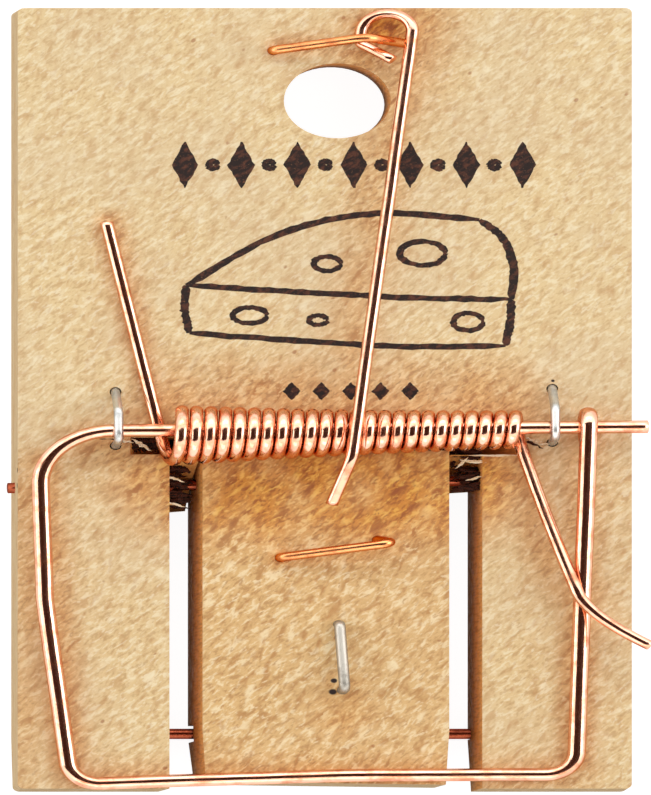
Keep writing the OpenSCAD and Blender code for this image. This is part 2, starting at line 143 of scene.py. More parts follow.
class Nodes:
    """Adds nodes to a tree and joins them: a value given as a socket is linked, any other is set."""

    def __init__(self, tree):
        self.tree = tree

    def add(self, kind, inputs=None, **settings):
        """A new node of a kind, with its settings, and with its inputs linked or set."""
        node = self.tree.nodes.new(kind)
        for key, value in settings.items():
            setattr(node, key, value)
        for key, value in (inputs or {}).items():
            if isinstance(value, bpy.types.NodeSocket):
                link(self.tree, value, node.inputs[key])
            else:
                node.inputs[key].default_value = value
        return node

    def place(self, size=(1, 1, 1), turn=0.0):
        """The point's place on the object, counted in steps of a size in millimetres.

        The three sizes belong to the X, Y and Z axes after these are turned about Z, in degrees.
        """
        coordinates = self.add("ShaderNodeTexCoord").outputs["Object"]
        return self.add("ShaderNodeMapping", {
            "Vector": coordinates, "Rotation": (0, 0, math.radians(turn)),
            "Scale": [s * mm for s in size]}, vector_type="TEXTURE").outputs[0]

    def math(self, operation, a, b=0.0, clamp=False):
        """One sum on two values."""
        return self.add("ShaderNodeMath", {0: a, 1: b}, operation=operation,
                        use_clamp=clamp).outputs[0]

    def noise(self, vector, scale=1.0, detail=3.0, roughness=0.5, distortion=0.0):
        """Cloudy pattern between 0 and 1, a half on average."""
        return self.add("ShaderNodeTexNoise", {
            "Vector": vector, "Scale": scale, "Detail": detail, "Roughness": roughness,
            "Distortion": distortion}).outputs["Fac"]

    def cells(self, vector, scale):
        """Distance to the nearest of many scattered points."""
        return self.add("ShaderNodeTexVoronoi",
                        {"Vector": vector, "Scale": scale}).outputs["Distance"]

    def ramp(self, value, low, high, to_low=0.0, to_high=1.0):
        """Smooth step from low to high."""
        return self.add("ShaderNodeMapRange",
                        {"Value": value, "From Min": low, "From Max": high,
                         "To Min": to_low, "To Max": to_high},
                        interpolation_type="SMOOTHSTEP").outputs["Result"]

    def mix(self, share, a, b):
        """Colour a where the share is 0, colour b where it is 1."""
        node = self.add("ShaderNodeMix", {0: share}, data_type="RGBA")
        for key, value in ((6, a), (7, b)):
            if isinstance(value, bpy.types.NodeSocket):
                link(self.tree, value, node.inputs[key])
            else:
                node.inputs[key].default_value = (*value, 1)
        return node.outputs[2]

    def parts(self, vector):
        """The three coordinates of a vector."""
        return self.add("ShaderNodeSeparateXYZ", {0: vector}).outputs

    def near(self, vector, point, inner, outer):
        """1 within the inner distance of a point in millimetres, 0 beyond the outer one."""
        away = self.add("ShaderNodeVectorMath", {0: vector, 1: point}, operation="DISTANCE")
        return self.ramp(away.outputs["Value"], inner, outer, 1.0, 0.0)

    def beside(self, vector, start, end, inner, outer):
        """1 within the inner distance of a straight line in millimetres, 0 beyond the outer one.

        The share of the way along the line is dot(point - start, end - start) / length squared,
        kept between 0 and 1.
        """
        run = np.subtract(end, start)
        rel = self.add("ShaderNodeVectorMath", {0: vector, 1: start}, operation="SUBTRACT").outputs[0]
        share = self.add("ShaderNodeVectorMath", {0: rel, 1: tuple(run / (run @ run))},
                         operation="DOT_PRODUCT").outputs["Value"]
        share = self.math("MAXIMUM", self.math("MINIMUM", share, 1.0), 0.0)
        foot = self.add("ShaderNodeVectorMath", {0: tuple(run), "Scale": share},
                        operation="SCALE").outputs[0]
        away = self.add("ShaderNodeVectorMath", {0: rel, 1: foot}, operation="DISTANCE")
        return self.ramp(away.outputs["Value"], inner, outer, 1.0, 0.0)

    def bump(self, height, strength, distance):
        """Normals of a surface raised by a height, whose full step is a distance in metres."""
        return self.add("ShaderNodeBump", {"Height": height, "Strength": strength,
                                           "Distance": distance}).outputs[0]


def colour(red, green, blue):
    """A colour given as it looks on a screen, 0 to 255, as linear light."""
    shares = np.array([red, green, blue]) / 255
    linear = np.where(shares <= 0.04045, shares / 12.92, ((shares + 0.055) / 1.055) ** 2.4)
    return tuple(float(v) for v in linear)


# %% [markdown]
# ## Light
# Bright wire shows what surrounds it. A ready-made picture of a room could surround it, but a few
# lamps and cards make plain what draws which line, so the studio is made of them: large soft boxes
# draw the white lines along each wire, and cards above draw its dark core and its rims. Wood only
# needs enough light in all, so the strength of the boxes is set by the wood. The world fills in from
# all sides.

# %% World
FILL_LIGHT, GLOSS_LIGHT = 0.42, 1.5
bpy.context.scene.view_settings.view_transform = "Standard"
world = bpy.data.worlds.new("studio")
bpy.context.scene.world = world
world.use_nodes = True


def build_world(tree):
    """Even fill for the object, white for the camera, and brighter than white in reflections."""
    n = Nodes(tree)
    rays = n.add("ShaderNodeLightPath").outputs
    white = n.math("MAXIMUM", rays["Is Camera Ray"], rays["Is Transmission Ray"])
    gloss = n.math("MULTIPLY", rays["Is Glossy Ray"], GLOSS_LIGHT)
    strength = n.math("MAXIMUM", n.math("MAXIMUM", white, gloss), FILL_LIGHT)
    background = tree.nodes["Background"]
    link(tree, strength, background.inputs["Strength"])
    background.inputs["Color"].default_value = (1, 1, 1, 1)


build_world(world.node_tree)

# %% Soft boxes


def soft_box(name, place, width, height, watts):
    """Rectangular lamp at a place in metres, facing the middle of the board."""
    data = bpy.data.lights.new(name, "AREA")
    data.shape = "RECTANGLE"
    data.size, data.size_y, data.energy = width, height, watts
    lamp = bpy.data.objects.new(name, data)
    lamp.location = place
    lamp.rotation_euler = Vector(place).to_track_quat("Z", "Y").to_euler()
    bpy.context.scene.collection.objects.link(lamp)


soft_box("right_box", (0.5, 0.05, 0.45), 0.3, 0.8, 1.6)
soft_box("rear_box", (0.0, 0.5, 0.5), 0.8, 0.3, 1.5)
soft_box("front_box", (-0.1, -0.55, 0.45), 0.7, 0.25, 0.7)
soft_box("left_box", (-0.6, 0.0, 0.3), 0.3, 0.6, 1.1)
print("lamps:", len(bpy.data.lights))

# %% [markdown]
# ## Floor and cards
# The trap lies on a white sheet. A white world alone would do for the background, but nothing would
# then hold the soft shadow. The sheet is lit like the rest, and some of its whiteness is added for the
# camera and for reflections only, so it stays nearly white in the narrow saw cuts. Five cards hang
# half a metre above, where only reflections see them: a black one over the board, a brown one to its
# left, and white ones to its right, behind it and before it.

# %% Floor and cards
FLOOR_PAPER, FLOOR_GLOW = 0.3, 0.93
FLOOR_HALF = 3
CARD_Z = 0.5


def flat_sheet(name, half_x, half_y, centre, material):
    """One rectangle, level, facing up, with its finish: half sizes and centre in metres."""
    x, y, z = centre
    corners = [(x - half_x, y - half_y, z), (x + half_x, y - half_y, z),
               (x + half_x, y + half_y, z), (x - half_x, y + half_y, z)]
    mesh = bpy.data.meshes.new(name)
    mesh.from_pydata(corners, [], [(0, 1, 2, 3)])
    mesh.materials.append(material)
    sheet = bpy.data.objects.new(name, mesh)
    bpy.context.scene.collection.objects.link(sheet)
    return sheet


def floor_material():
    """White paper: a lit part, and a glow that only the camera and reflections see."""
    material, tree, output = new_material("white_paper")
    n = Nodes(tree)
    lit = n.add("ShaderNodeBsdfDiffuse", {"Color": (FLOOR_PAPER, FLOOR_PAPER, FLOOR_PAPER, 1)})
    rays = n.add("ShaderNodeLightPath").outputs
    seen = n.math("MAXIMUM", rays["Is Camera Ray"], rays["Is Glossy Ray"])
    glow = n.add("ShaderNodeEmission", {"Color": (1, 1, 1, 1),
                                        "Strength": n.math("MULTIPLY", seen, FLOOR_GLOW)})
    both = n.add("ShaderNodeAddShader", {0: lit.outputs[0], 1: glow.outputs[0]})
    link(tree, both.outputs[0], output.inputs["Surface"])
    return material


def card_material(name, shade):
    """Card that shows the same shade from everywhere: 1 is white paper, and more is a lamp."""
    material, tree, output = new_material(name)
    glow = Nodes(tree).add("ShaderNodeEmission", {"Color": (*shade, 1)})
    link(tree, glow.outputs[0], output.inputs["Surface"])
    return material


flat_sheet("floor", FLOOR_HALF, FLOOR_HALF, (0, 0, 0), floor_material())
for name, half_x, half_y, x, y, shade in (
        ("black_card", 0.58, 0.24, -0.1, -0.01, (0.05, 0.018, 0.012)),
        ("brown_card", 0.9, 0.26, -1.6, 0, (0.34, 0.22, 0.15)),
        ("white_card", 0.9, 0.26, 1.4, 0, (2.0, 2.0, 2.0)),
        ("rear_card", 3.0, 0.4, 0, 0.67, (2.3, 2.2, 2.1)),
        ("front_card", 3.0, 0.3, 0, -0.6, (1.8, 1.65, 1.5))):
    card = flat_sheet(name, half_x, half_y, (x, y, CARD_Z), card_material(name, shade))
    card.visible_camera = card.visible_shadow = False
    card.visible_diffuse = card.visible_transmission = False
print("floor and cards are in place")

# %% [markdown]
# ## Beech
# The board is cheap sawn beech: a pale face with a fine, pebbled bite left by the planer, short
# slanting flecks, faint streaks along the grain and browner patches round the wires and staples, partly
# stain and partly painted shadow and painted reflected copper light. The patches could be painted on
# the unwrapped board. Here each is a short line with a soft edge, placed in the board's own
# millimetres, and the rest is noise in the same millimetres. One set of nodes then makes both pieces,
# and the pedal's grain runs on from the board it was sawn from.

# %% Beech colours, and browned places with painted wire shade
PALE, CREAM, GOLD = colour(234, 205, 152), colour(229, 201, 154), colour(225, 174, 103)
LIGHT, DARK = colour(254, 240, 206), colour(200, 158, 104)
LIGHT_GOLD, DARK_GOLD = colour(253, 224, 172), colour(184, 126, 62)
AMBER, LIGHT_AMBER, DARK_AMBER = colour(210, 136, 46), colour(242, 186, 84), colour(156, 80, 22)
FLECK, CUT_WALL_BROWN, SHADE_BLACK = colour(190, 132, 70), colour(244, 178, 100), colour(34, 14, 8)
SAW_LINE = colour(150, 84, 44)
END_PALE, END_DARK = colour(255, 226, 178), colour(238, 192, 134)
# near-black spots of painted shade at small holes by the staples and at the left edge: centre, radius
hole_shade_spots = [((0.8, -35.45, 8), 0.36), ((0.7, -36.85, 8), 0.44), ((20.05, 2.2, 8), 0.2),
                  ((-27, -9.0, 7.6), 0.4), ((-27, -10.9, 7.4), 0.4)]
# each browned place, partly stain and partly painted shadow and reflected light of the wires: start,
# end, full within, gone beyond, strength
stain_and_wire_shade_places = [
    ((-10, -10, 8), (10, -10, 8), 4, 12, 1.0), ((-12, -1, 8), (14, -1, 8), 2, 9, 0.62),
    ((7, 48, 8), (4, 38, 8), 1, 8, 0.7), ((6, 40, 8), (1, -8, 8), 0.5, 4.5, 0.5),
    ((-14, -6, 8), (-18.9, 22, 8), 0.3, 2.5, 0.5), ((-20, -6, 8), (-14, -9, 8), 0.5, 5, 0.6),
    ((-25, -8, 8), (-22.6, -46, 8), 0.5, 3, 0.55), ((22.6, -4, 8), (22, -46, 8), 0.5, 2.6, 0.6),
    ((-22, -48, 8), (22, -47, 8), 0.5, 4, 0.45), ((15, -8, 8), (22, -24, 8), 0.5, 4, 0.55),
    ((-4, -20, 8), (6, -18.5, 8), 0.3, 2.2, 0.6), ((1.5, -37, 8), (1.5, -40, 8), 0.5, 4, 0.5),
    ((-3.5, 44, 8), (4, 45, 8), 0.3, 2.5, 0.6), ((4.2, 46.4, 8), (6.4, 46.2, 8), 1.2, 2.6, 1.0),
    ((-26.6, -12, 8), (-26.6, -48, 8), 0.5, 3, 0.4), ((0, 39, 8), (5, 41, 8), 0.5, 4, 0.5),
]

# %% [markdown]
# One noise with two colours would look like stone. The planed face is built up in layers instead: the
# ground colour, a golden cast on the pedal and beside it, the browned places (partly stain and partly
# painted shadow and reflected light of the wires), then mottling, the relief painted paler on its
# ridges and darker in its hollows as painted highlight and painted shade, flecks and specks. The layers
# share a paler and a deeper shade, chosen by how browned and how golden the spot is.

# %% Planed face


def largest(n, *values):
    """The largest of several values, by a chain of nodes."""
    most = values[0]
    for value in values[1:]:
        most = n.math("MAXIMUM", most, value)
    return most


def product(n, *values):
    """All the values multiplied, by a chain of nodes."""
    total = values[0]
    for value in values[1:]:
        total = n.math("MULTIPLY", total, value)
    return total


def stain_and_wire_shade(n, place):
    """How browned a point is, partly by stain and partly by painted shadow and reflected light of the
    wires: the strongest of the browned places, broken up by noise.
    """
    stain_and_shade = largest(n, 0.0, *(n.math("MULTIPLY", n.beside(place, start, end, inner, outer), strength)
                             for start, end, inner, outer, strength in stain_and_wire_shade_places))
    return product(n, stain_and_shade, n.ramp(n.noise(n.place((4, 7, 4)), 1.0, 3.0), 0.2, 0.65, 0.45, 1.0))


def planed_face(n, place, relief, streaks, flecks):
    """Colour of the top: ground, gold, browned places, mottle, the relief's painted highlight and
    shade, flecks and specks, one on another.
    """
    x, y, _ = n.parts(place)
    broad = n.noise(place, 0.09, 2.0)
    # browned places: partly stain, partly painted shadow and painted reflected copper light round the
    # wires and staples
    stain_and_shade = stain_and_wire_shade(n, place)
    golden = n.math("MULTIPLY", n.ramp(y, -4.5, -8.0),
                    n.ramp(n.math("ABSOLUTE", x), 12.0, 10.5, 0.14, 0.66))
    face = n.mix(n.ramp(broad, 0.35, 0.7), PALE, CREAM)
    face = n.mix(n.ramp(streaks, 0.5, 0.8, 0, 0.25), face, FLECK)
    face = n.mix(golden, face, GOLD)
    face = n.mix(stain_and_shade, face, AMBER)

    mottle = n.noise(n.place((2.3, 0.9, 2), 62), 1.0, 2.0, 0.5, 0.6)
    special = n.math("MAXIMUM", stain_and_shade, golden)
    mottled = n.math("ADD", 0.35, n.math("MULTIPLY", special, 0.6))
    deeper = n.mix(stain_and_shade, n.mix(golden, FLECK, DARK_GOLD), DARK_AMBER)
    pale_tone_and_highlight = n.mix(stain_and_shade, n.mix(golden, LIGHT, LIGHT_GOLD), LIGHT_AMBER)
    face = n.mix(product(n, n.ramp(mottle, 0.52, 0.72), mottled), face, deeper)
    face = n.mix(product(n, n.ramp(mottle, 0.46, 0.28), mottled), face, pale_tone_and_highlight)

    # painted highlight and painted shade: the relief is also painted into the colour, paler on its
    # ridges and darker in its hollows
    relief_shading = n.math("ADD", n.math("MULTIPLY", special, 0.3), n.ramp(broad, 0.3, 0.7, 0.6, 0.4),
                   clamp=True)
    hollow_shade = n.mix(stain_and_shade, n.mix(golden, DARK, DARK_GOLD), DARK_AMBER)
    face = n.mix(product(n, n.ramp(relief, 0.51, 0.62), relief_shading), face, pale_tone_and_highlight)
    face = n.mix(product(n, n.ramp(relief, 0.48, 0.37), relief_shading), face, hollow_shade)

    bold = n.math("ADD", 0.3, n.math("MULTIPLY", golden, 0.5))
    face = n.mix(product(n, flecks, bold), face, n.mix(stain_and_shade, FLECK, DARK_AMBER))
    specks = n.ramp(n.cells(n.place((1.4, 0.9, 1), 64), 0.45), 0.12, 0.06)
    rare = n.ramp(n.noise(place, 0.5, 1.0), 0.56, 0.62)
    return n.mix(product(n, specks, rare, 0.6), face, DARK_AMBER)


# %% [markdown]
# The walls of the saw cuts and of the hanging hole are brown, with painted shade that deepens to near
# black towards the bottom. The board's outer sides, its underside and the bevel under its front end
# stay pale. A second material on chosen faces could tell them apart, but the exact mesh is left as it
# is, so the cut-wall share is bounded by the cuts' own places and kept off the outer faces of both
# pieces.

# %% Sawn walls
BEVEL_L, BEVEL_H, BOARD_HALF_L = 6.5, 1.8, 49.0
HOLE_MIDDLE, HOLE_REACH = (1.1, 37.35, 4), (6.5, 6.8)


def cut_wall_share(n, place):
    """1 on the walls of the slots, the cross cut and the hole, 0 on the outer faces.

    Over the bevel the height z + (y + half length) * bevel height / bevel length is more than the
    bevel's own height. The pedal's end runs slantwise, by 0.019 of the way across.
    """
    x, y, z = n.parts(place)
    aside = n.math("ABSOLUTE", x)
    in_slots = product(n, n.ramp(aside, 15.0, 14.8), n.ramp(y, -4.0, -4.6))
    from_cut = n.math("ABSOLUTE", n.math("ADD", y, 6.0))
    in_cross_cut = product(n, n.ramp(aside, 18.0, 17.6), n.ramp(from_cut, 1.6, 1.4))
    in_hole = n.near(place, HOLE_MIDDLE, *HOLE_REACH)
    slope = n.math("MULTIPLY", n.math("ADD", y, BOARD_HALF_L), BEVEL_H / BEVEL_L)
    over_bevel = n.ramp(n.math("ADD", z, slope), BEVEL_H + 0.03, BEVEL_H + 0.08)
    over_underside = n.ramp(z, 0.03, 0.08)
    behind_board_end = n.ramp(y, 0.03 - BOARD_HALF_L, 0.1 - BOARD_HALF_L)
    along_pedal = n.math("ADD", y, n.math("MULTIPLY", n.math("ADD", x, 10.5), 0.019))
    behind_pedal_end = n.math("MAXIMUM", n.ramp(along_pedal, -48.07, -48.02),
                              n.ramp(aside, 11.5, 11.8))
    return product(n, largest(n, in_slots, in_cross_cut, in_hole), over_bevel, over_underside,
                   behind_board_end, behind_pedal_end)


def wall_colour(n, place, flecks):
    """Brown inside the cuts, with painted shade down to near black at the bottom; pale streaky wood on
    the outer sides.
    """
    z = n.parts(place)[2]
    saw_lines = n.noise(n.place((5, 0.3, 2)), 1.0, 3.0)
    # painted shade: the cut walls darken towards near black lower down
    shaded_cut_wall = n.mix(n.ramp(z, 5.0, 0.5, 0, 0.7), CUT_WALL_BROWN, SHADE_BLACK)
    shaded_cut_wall = n.mix(n.ramp(saw_lines, 0.4, 0.7, 0, 0.4), shaded_cut_wall, SAW_LINE)
    grain = n.ramp(n.noise(n.place((7, 7, 0.3)), 1.0, 3.0), 0.35, 0.7)
    side = n.mix(n.math("MULTIPLY", flecks, 0.2), n.mix(grain, END_PALE, END_DARK), FLECK)
    return n.mix(cut_wall_share(n, place), side, shaded_cut_wall)


# %% Beech material


def beech():
    """Planed face on top, sawn walls below it, near-black spots of painted hole shade through both, and
    the relief.
    """
    material, tree, output = new_material("sawn_beech")
    n = Nodes(tree)
    place = n.place()
    ridges = n.noise(n.place((1.25, 0.5, 0.8), 45), 1.0, 2.0, 0.55, 0.5)
    grit = n.noise(n.place((0.4, 0.24, 0.4), 45), 1.0, 2.0)
    relief = n.math("ADD", n.math("MULTIPLY", ridges, 0.7), n.math("MULTIPLY", grit, 0.3))
    streaks = n.noise(n.place((0.8, 14, 0.8)), 1.0, 4.0, 0.6)
    flecks = n.ramp(n.noise(n.place((1.9, 0.75, 1), 64), 1.0, 1.5, 0.4, 0.4), 0.57, 0.74)

    wall = n.ramp(n.parts(place)[2], 7.95, 7.87)
    surface = n.mix(wall, planed_face(n, place, relief, streaks, flecks),
                    wall_colour(n, place, flecks))
    # painted shade: a near-black spot at each small hole
    for centre, radius in hole_shade_spots:
        surface = n.mix(n.near(place, centre, radius * 0.6, radius), surface, SHADE_BLACK)

    height = n.math("ADD", relief, n.math("MULTIPLY", streaks, 0.25))
    height = n.math("SUBTRACT", height, n.math("MULTIPLY", flecks, 0.3))
    shader = n.add("ShaderNodeBsdfPrincipled",
                   {"Base Color": surface, "Normal": n.bump(height, 0.6, 0.00016), "IOR": 1.45,
                    "Specular IOR Level": n.math("SUBTRACT", 0.5, n.math("MULTIPLY", wall, 0.45)),
                    "Roughness": n.ramp(ridges, 0.3, 0.7, 0.55, 0.8)})
    link(tree, shader.outputs[0], output.inputs["Surface"])
    return material


def refinish(names, material):
    """Gives the exact pieces of these names one finish instead of their own."""
    for name in names:
        nodes[name].data.materials.clear()
        nodes[name].data.materials.append(material)


beech_finish = beech()
refinish(("baseboard", "pedal"), beech_finish)
print("beech nodes:", len(beech_finish.node_tree.nodes))

# %% [markdown]
# ## Copper-plated wire and galvanised staples
# The wire is steel with a thin, bright copper plating: clean metal with fine lines from the drawing die
# that run along the wire, and slightly duller, redder patches. It is redder on the copper staples. On
# the pin and the stop wire, down in the cuts, a darker copy of the copper is painted shade. The grey
# staples are galvanised, and the bait's one is the dullest. Five separate materials would repeat the
# same steps, so one function makes them all. The lines read the wire's own UV map, whose first number
# runs round the wire and whose second runs along it in millimetres, because lines in plain space would
# cut across a bend.

# %% Metal materials


def wire_metal(name, bright, dull, edge, smooth, rough, line_depth):
    """Drawn wire: two shades mixed by patches, and fine lines along its length."""
    material, tree, output = new_material(name)
    n = Nodes(tree)
    uv = n.add("ShaderNodeUVMap", uv_map="wire").outputs[0]
    lines = n.noise(n.add("ShaderNodeMapping", {"Vector": uv, "Scale": (26, 0.35, 1)}).outputs[0],
                    1.0, 4.0, 0.6)
    patches = n.noise(n.place(), 0.55, 4.0, 0.6)
    pits = n.cells(n.place(), 2.6)
    shade = n.mix(n.ramp(patches, 0.42, 0.72), bright, dull)
    shade = n.mix(n.ramp(lines, 0.55, 0.8, 0, 0.35), shade, dull)
    dullness = n.math("ADD", n.ramp(patches, 0.35, 0.75, smooth, rough),
                      n.ramp(lines, 0.5, 0.8, 0, 0.08))
    height = n.math("ADD", lines, n.math("MULTIPLY", pits, 0.15))
    shader = n.add("ShaderNodeBsdfPrincipled",
                   {"Base Color": shade, "Metallic": 1.0, "Roughness": dullness,
                    "Specular Tint": (*edge, 1), "Normal": n.bump(height, 0.35, line_depth)})
    link(tree, shader.outputs[0], output.inputs["Surface"])
    return material


copper = wire_metal("copper_plate", colour(246, 196, 168), colour(220, 146, 112),
                    colour(246, 206, 180), 0.1, 0.2, 0.00002)
worn_copper = wire_metal("worn_copper_plate", colour(234, 160, 104), colour(186, 104, 62),
                         colour(230, 160, 110), 0.2, 0.38, 0.00003)
# painted shade: a darker copy of the copper for the pin and the stop wire, down in the cuts
shaded_copper = wire_metal("shaded_copper_plate", colour(160, 82, 56), colour(98, 42, 28),
                         colour(150, 84, 60), 0.24, 0.4, 0.00003)
zinc = wire_metal("galvanised_wire", colour(212, 214, 212), colour(168, 172, 172),
                  colour(230, 230, 230), 0.34, 0.5, 0.00003)
grey_zinc = wire_metal("weathered_zinc", colour(184, 181, 172), colour(132, 128, 120),
                       colour(200, 198, 190), 0.42, 0.58, 0.00003)
refinish(("striker", "spring", "hold_down_rod"), copper)
refinish(("pivot_pin", "stop_wire"), shaded_copper)
refinish(("rod_staple", "catch_staple"), worn_copper)
refinish(("bait_staple",), grey_zinc)
refinish(("left_axle_staple", "right_axle_staple"), zinc)
print("metals:", [metal.name for metal in (copper, worn_copper, shaded_copper, zinc, grey_zinc)])

# %% [markdown]
# ## Bending wire
# Every wire is a round profile carried along a path. The path is straight runs joined by arcs, just
# as a wire bender makes it, and a slow wobble of a few hundredths of a millimetre keeps the runs from
# looking ruled. Blender's own curves can carry a round profile too. The rings are worked out here
# instead, because each point then knows its place round and along the wire, which the metal's lines
# need. The round profile stands on two directions square to the path.

# %% Wire paths
WOBBLE_SPANS = (9.0, 4.1, 2.3)


def unit(vectors):
    """Vectors divided by their lengths, along the last axis."""
    vectors = np.asarray(vectors, float)
    return vectors / np.linalg.norm(vectors, axis=-1, keepdims=True)


def bent_path(points, radii, spacing=0.5):
    """Straight runs joined by arcs, in millimetres.

    At each inner corner the arc touches both runs: it starts radius / tan(half angle) before the
    corner, and its centre lies on the corner's middle line, radius / sin(half angle) away.
    """
    points = np.asarray(points, float)
    pieces = []
    start = points[0]
    for before, corner, after, radius in zip(points, points[1:], points[2:], radii):
        back, onward = unit(before - corner), unit(after - corner)
        opening = math.acos(float(np.clip(back @ onward, -1, 1)))
        centre = corner + unit(back + onward) * radius / math.sin(opening / 2)
        touch = corner + back * radius / math.tan(opening / 2)
        steps = max(2, int(np.linalg.norm(touch - start) / spacing))
        pieces.append(start + (touch - start) * np.linspace(0, 1, steps, endpoint=False)[:, None])
        turn = math.pi - opening
        t = np.linspace(0, turn, max(4, int(turn * 9 + radius * turn / spacing)))[:, None]
        pieces.append(centre + unit(touch - centre) * radius * np.cos(t) - back * radius * np.sin(t))
        start = pieces[-1][-1]
        pieces[-1] = pieces[-1][:-1]
    steps = max(2, int(np.linalg.norm(points[-1] - start) / spacing))
    pieces.append(start + (points[-1] - start) * np.linspace(0, 1, steps)[:, None])
    return np.concatenate(pieces)


def run_lengths(path):
    """Distance along the path at each of its points."""
    return np.concatenate([[0], np.cumsum(np.linalg.norm(np.diff(path, axis=0), axis=1))])


def wobbled(path, amount, seed):
    """The path with three slow sine waves added to each coordinate, fading out at both ends."""
    length = run_lengths(path)
    share = length / length[-1]
    phase = np.random.default_rng(seed).uniform(0, 2 * math.pi, (3, 3))
    waves = sum(np.sin(length[:, None] / span + phase[i]) for i, span in enumerate(WOBBLE_SPANS))
    return path + amount * waves / 3 * np.sin(math.pi * share)[:, None] ** 0.5


# %% Round wire
END_BEVEL, END_REACH = 0.12, 0.35
CAP_UV = 0.05


def wire(name, path, diameter, sides=20, reference=(0.6, 0.0, 0.8)):
    """Round wire along a path in millimetres, with slightly rounded cut ends.

    Ring i: path_i + radius * (cos(a) * u_i + sin(a) * v_i), where u is square to the reference
    direction and the path, and v square to both u and the path. A smaller ring stands a little
    outside each end.
    """
    path = np.asarray(path, float)
    heading = unit(np.gradient(path, axis=0))
    bevel = END_BEVEL * diameter
    centres = np.concatenate([path[:1], path, path[-1:]])
    centres[0] = path[0] - heading[0] * bevel * END_REACH
    centres[-1] = path[-1] + heading[-1] * bevel * END_REACH
    heading = np.concatenate([heading[:1], heading, heading[-1:]])
    radius = np.full(len(centres), diameter / 2)
    radius[[0, -1]] -= bevel
    u = unit(np.cross(np.asarray(reference, float), heading))
    v = np.cross(heading, u)
    angle = np.linspace(0, 2 * math.pi, sides, endpoint=False)
    ring = (np.cos(angle)[None, :, None] * u[:, None, :]
            + np.sin(angle)[None, :, None] * v[:, None, :])
    points = (centres[:, None, :] + radius[:, None, None] * ring).reshape(-1, 3)
    rows = len(centres)
    i, j = np.meshgrid(np.arange(rows - 1), np.arange(sides), indexing="ij")
    i, j = i.ravel(), j.ravel()
    k = (j + 1) % sides
    quads = np.stack([i * sides + j, i * sides + k, (i + 1) * sides + k, (i + 1) * sides + j], 1)
    first = list(range(sides))[::-1]
    last = list(range((rows - 1) * sides, rows * sides))
    mesh = bpy.data.meshes.new(name)
    mesh.from_pydata((points * mm).tolist(), [], quads.tolist() + [first, last])
    along = run_lengths(centres)
    around = np.stack([j, j + 1, j + 1, j], 1) / sides
    lengthwise = np.stack([along[i], along[i], along[i + 1], along[i + 1]], 1)
    body_uv = np.stack([around, lengthwise], 2).reshape(-1, 2)
    cap_uv = np.concatenate([np.stack([np.cos(angle), np.sin(angle)], 1) * CAP_UV] * 2)
    layer = mesh.uv_layers.new(name="wire")
    layer.data.foreach_set("uv", np.concatenate([body_uv, cap_uv]).ravel())
    mesh.polygons.foreach_set("use_smooth", [True] * len(quads) + [False, False])
    piece = bpy.data.objects.new(name, mesh)
    bpy.context.scene.collection.objects.link(piece)
    print(f"{name}: {along[-1]:.1f} mm of wire, {2 * len(quads)} triangles")
    return piece


def finish_wire(piece, material, body, node):
    """Gives a wire its metal, its body and the exact piece that it stands for."""
    piece.data.materials.append(material)
    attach(piece, body)
    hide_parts(node)


# %% [markdown]
# ## The striker
# One wire makes the axle, the left leg, the striking bar, the right leg and the small eye that closes
# round the axle. It could be modelled from a ring and four rods, but every joint would show, so it is
# one path with a bend radius at each corner. It lies in the axle's own frame, which is turned a little
# on the board, and its right leg rises along the line from the bar that touches the eye.

# %% Striker
BOARD_TOP = 8.0
REST_GAP = 0.1
STRIKER_D = 1.6
EYE_PLAY, EYE_CLEARANCE = 0.1, 0.05
EYE_R = STRIKER_D + EYE_PLAY
AXLE_Z = BOARD_TOP + REST_GAP + STRIKER_D / 2 + EYE_R + EYE_CLEARANCE
AXLE_Y = -4.04
AXLE_END = 28.2
AXLE_SKEW = math.radians(0.6)
FRAME_LEFT, FRAME_RIGHT, FRAME_REACH = 25.3, 22.95, 43.85
LEFT_LEAN, RIGHT_LEAN = 2.45, 1.4
KNEE_LEAN, KNEE_Y = 0.3, -21
BAR_SLANT, BAR_BOW, BAR_BOW_X = 0.375, 0.5, 2
BAR_Z = BOARD_TOP + REST_GAP + STRIKER_D / 2 - AXLE_Z
LEG_RISE = math.atan(-BAR_Z / FRAME_REACH) + math.asin(EYE_R / math.hypot(FRAME_REACH, BAR_Z))
SHOULDER_BEND, KNEE_BEND, CORNER_BEND, BOW_BEND, EYE_BEND = 6.5, 14, 2.8, 150, EYE_R - 0.04


def from_axle(points):
    """Points in the axle's frame, X along the axle, put on the board, in millimetres."""
    x, y, z = np.asarray(points, float).T
    c, s = math.cos(AXLE_SKEW), math.sin(AXLE_SKEW)
    return np.stack([c * x - s * y, s * x + c * y + AXLE_Y, z + AXLE_Z], 1)


def leg_height(y):
    """Height of the right leg above the axle at a distance behind it."""
    return BAR_Z + math.tan(LEG_RISE) * (y + FRAME_REACH)


striker_corners = [
    (AXLE_END, 0, 0), (-FRAME_LEFT, 0, 0),
    (-FRAME_LEFT + KNEE_LEAN, KNEE_Y, -BAR_Z * KNEE_Y / FRAME_REACH),
    (-FRAME_LEFT + LEFT_LEAN, -FRAME_REACH - BAR_SLANT, BAR_Z),
    (BAR_BOW_X, -FRAME_REACH + BAR_BOW, BAR_Z),
    (FRAME_RIGHT - RIGHT_LEAN, -FRAME_REACH + BAR_SLANT, BAR_Z),
    (FRAME_RIGHT, EYE_R, leg_height(EYE_R)), (FRAME_RIGHT, EYE_R, -EYE_R),
    (FRAME_RIGHT, -EYE_R, -EYE_R), (FRAME_RIGHT, -EYE_R, EYE_CLEARANCE),
]
striker_path = bent_path(striker_corners, [SHOULDER_BEND, KNEE_BEND, CORNER_BEND, BOW_BEND,
                                           CORNER_BEND, EYE_BEND, EYE_BEND, EYE_BEND])
WOBBLE = 0.035
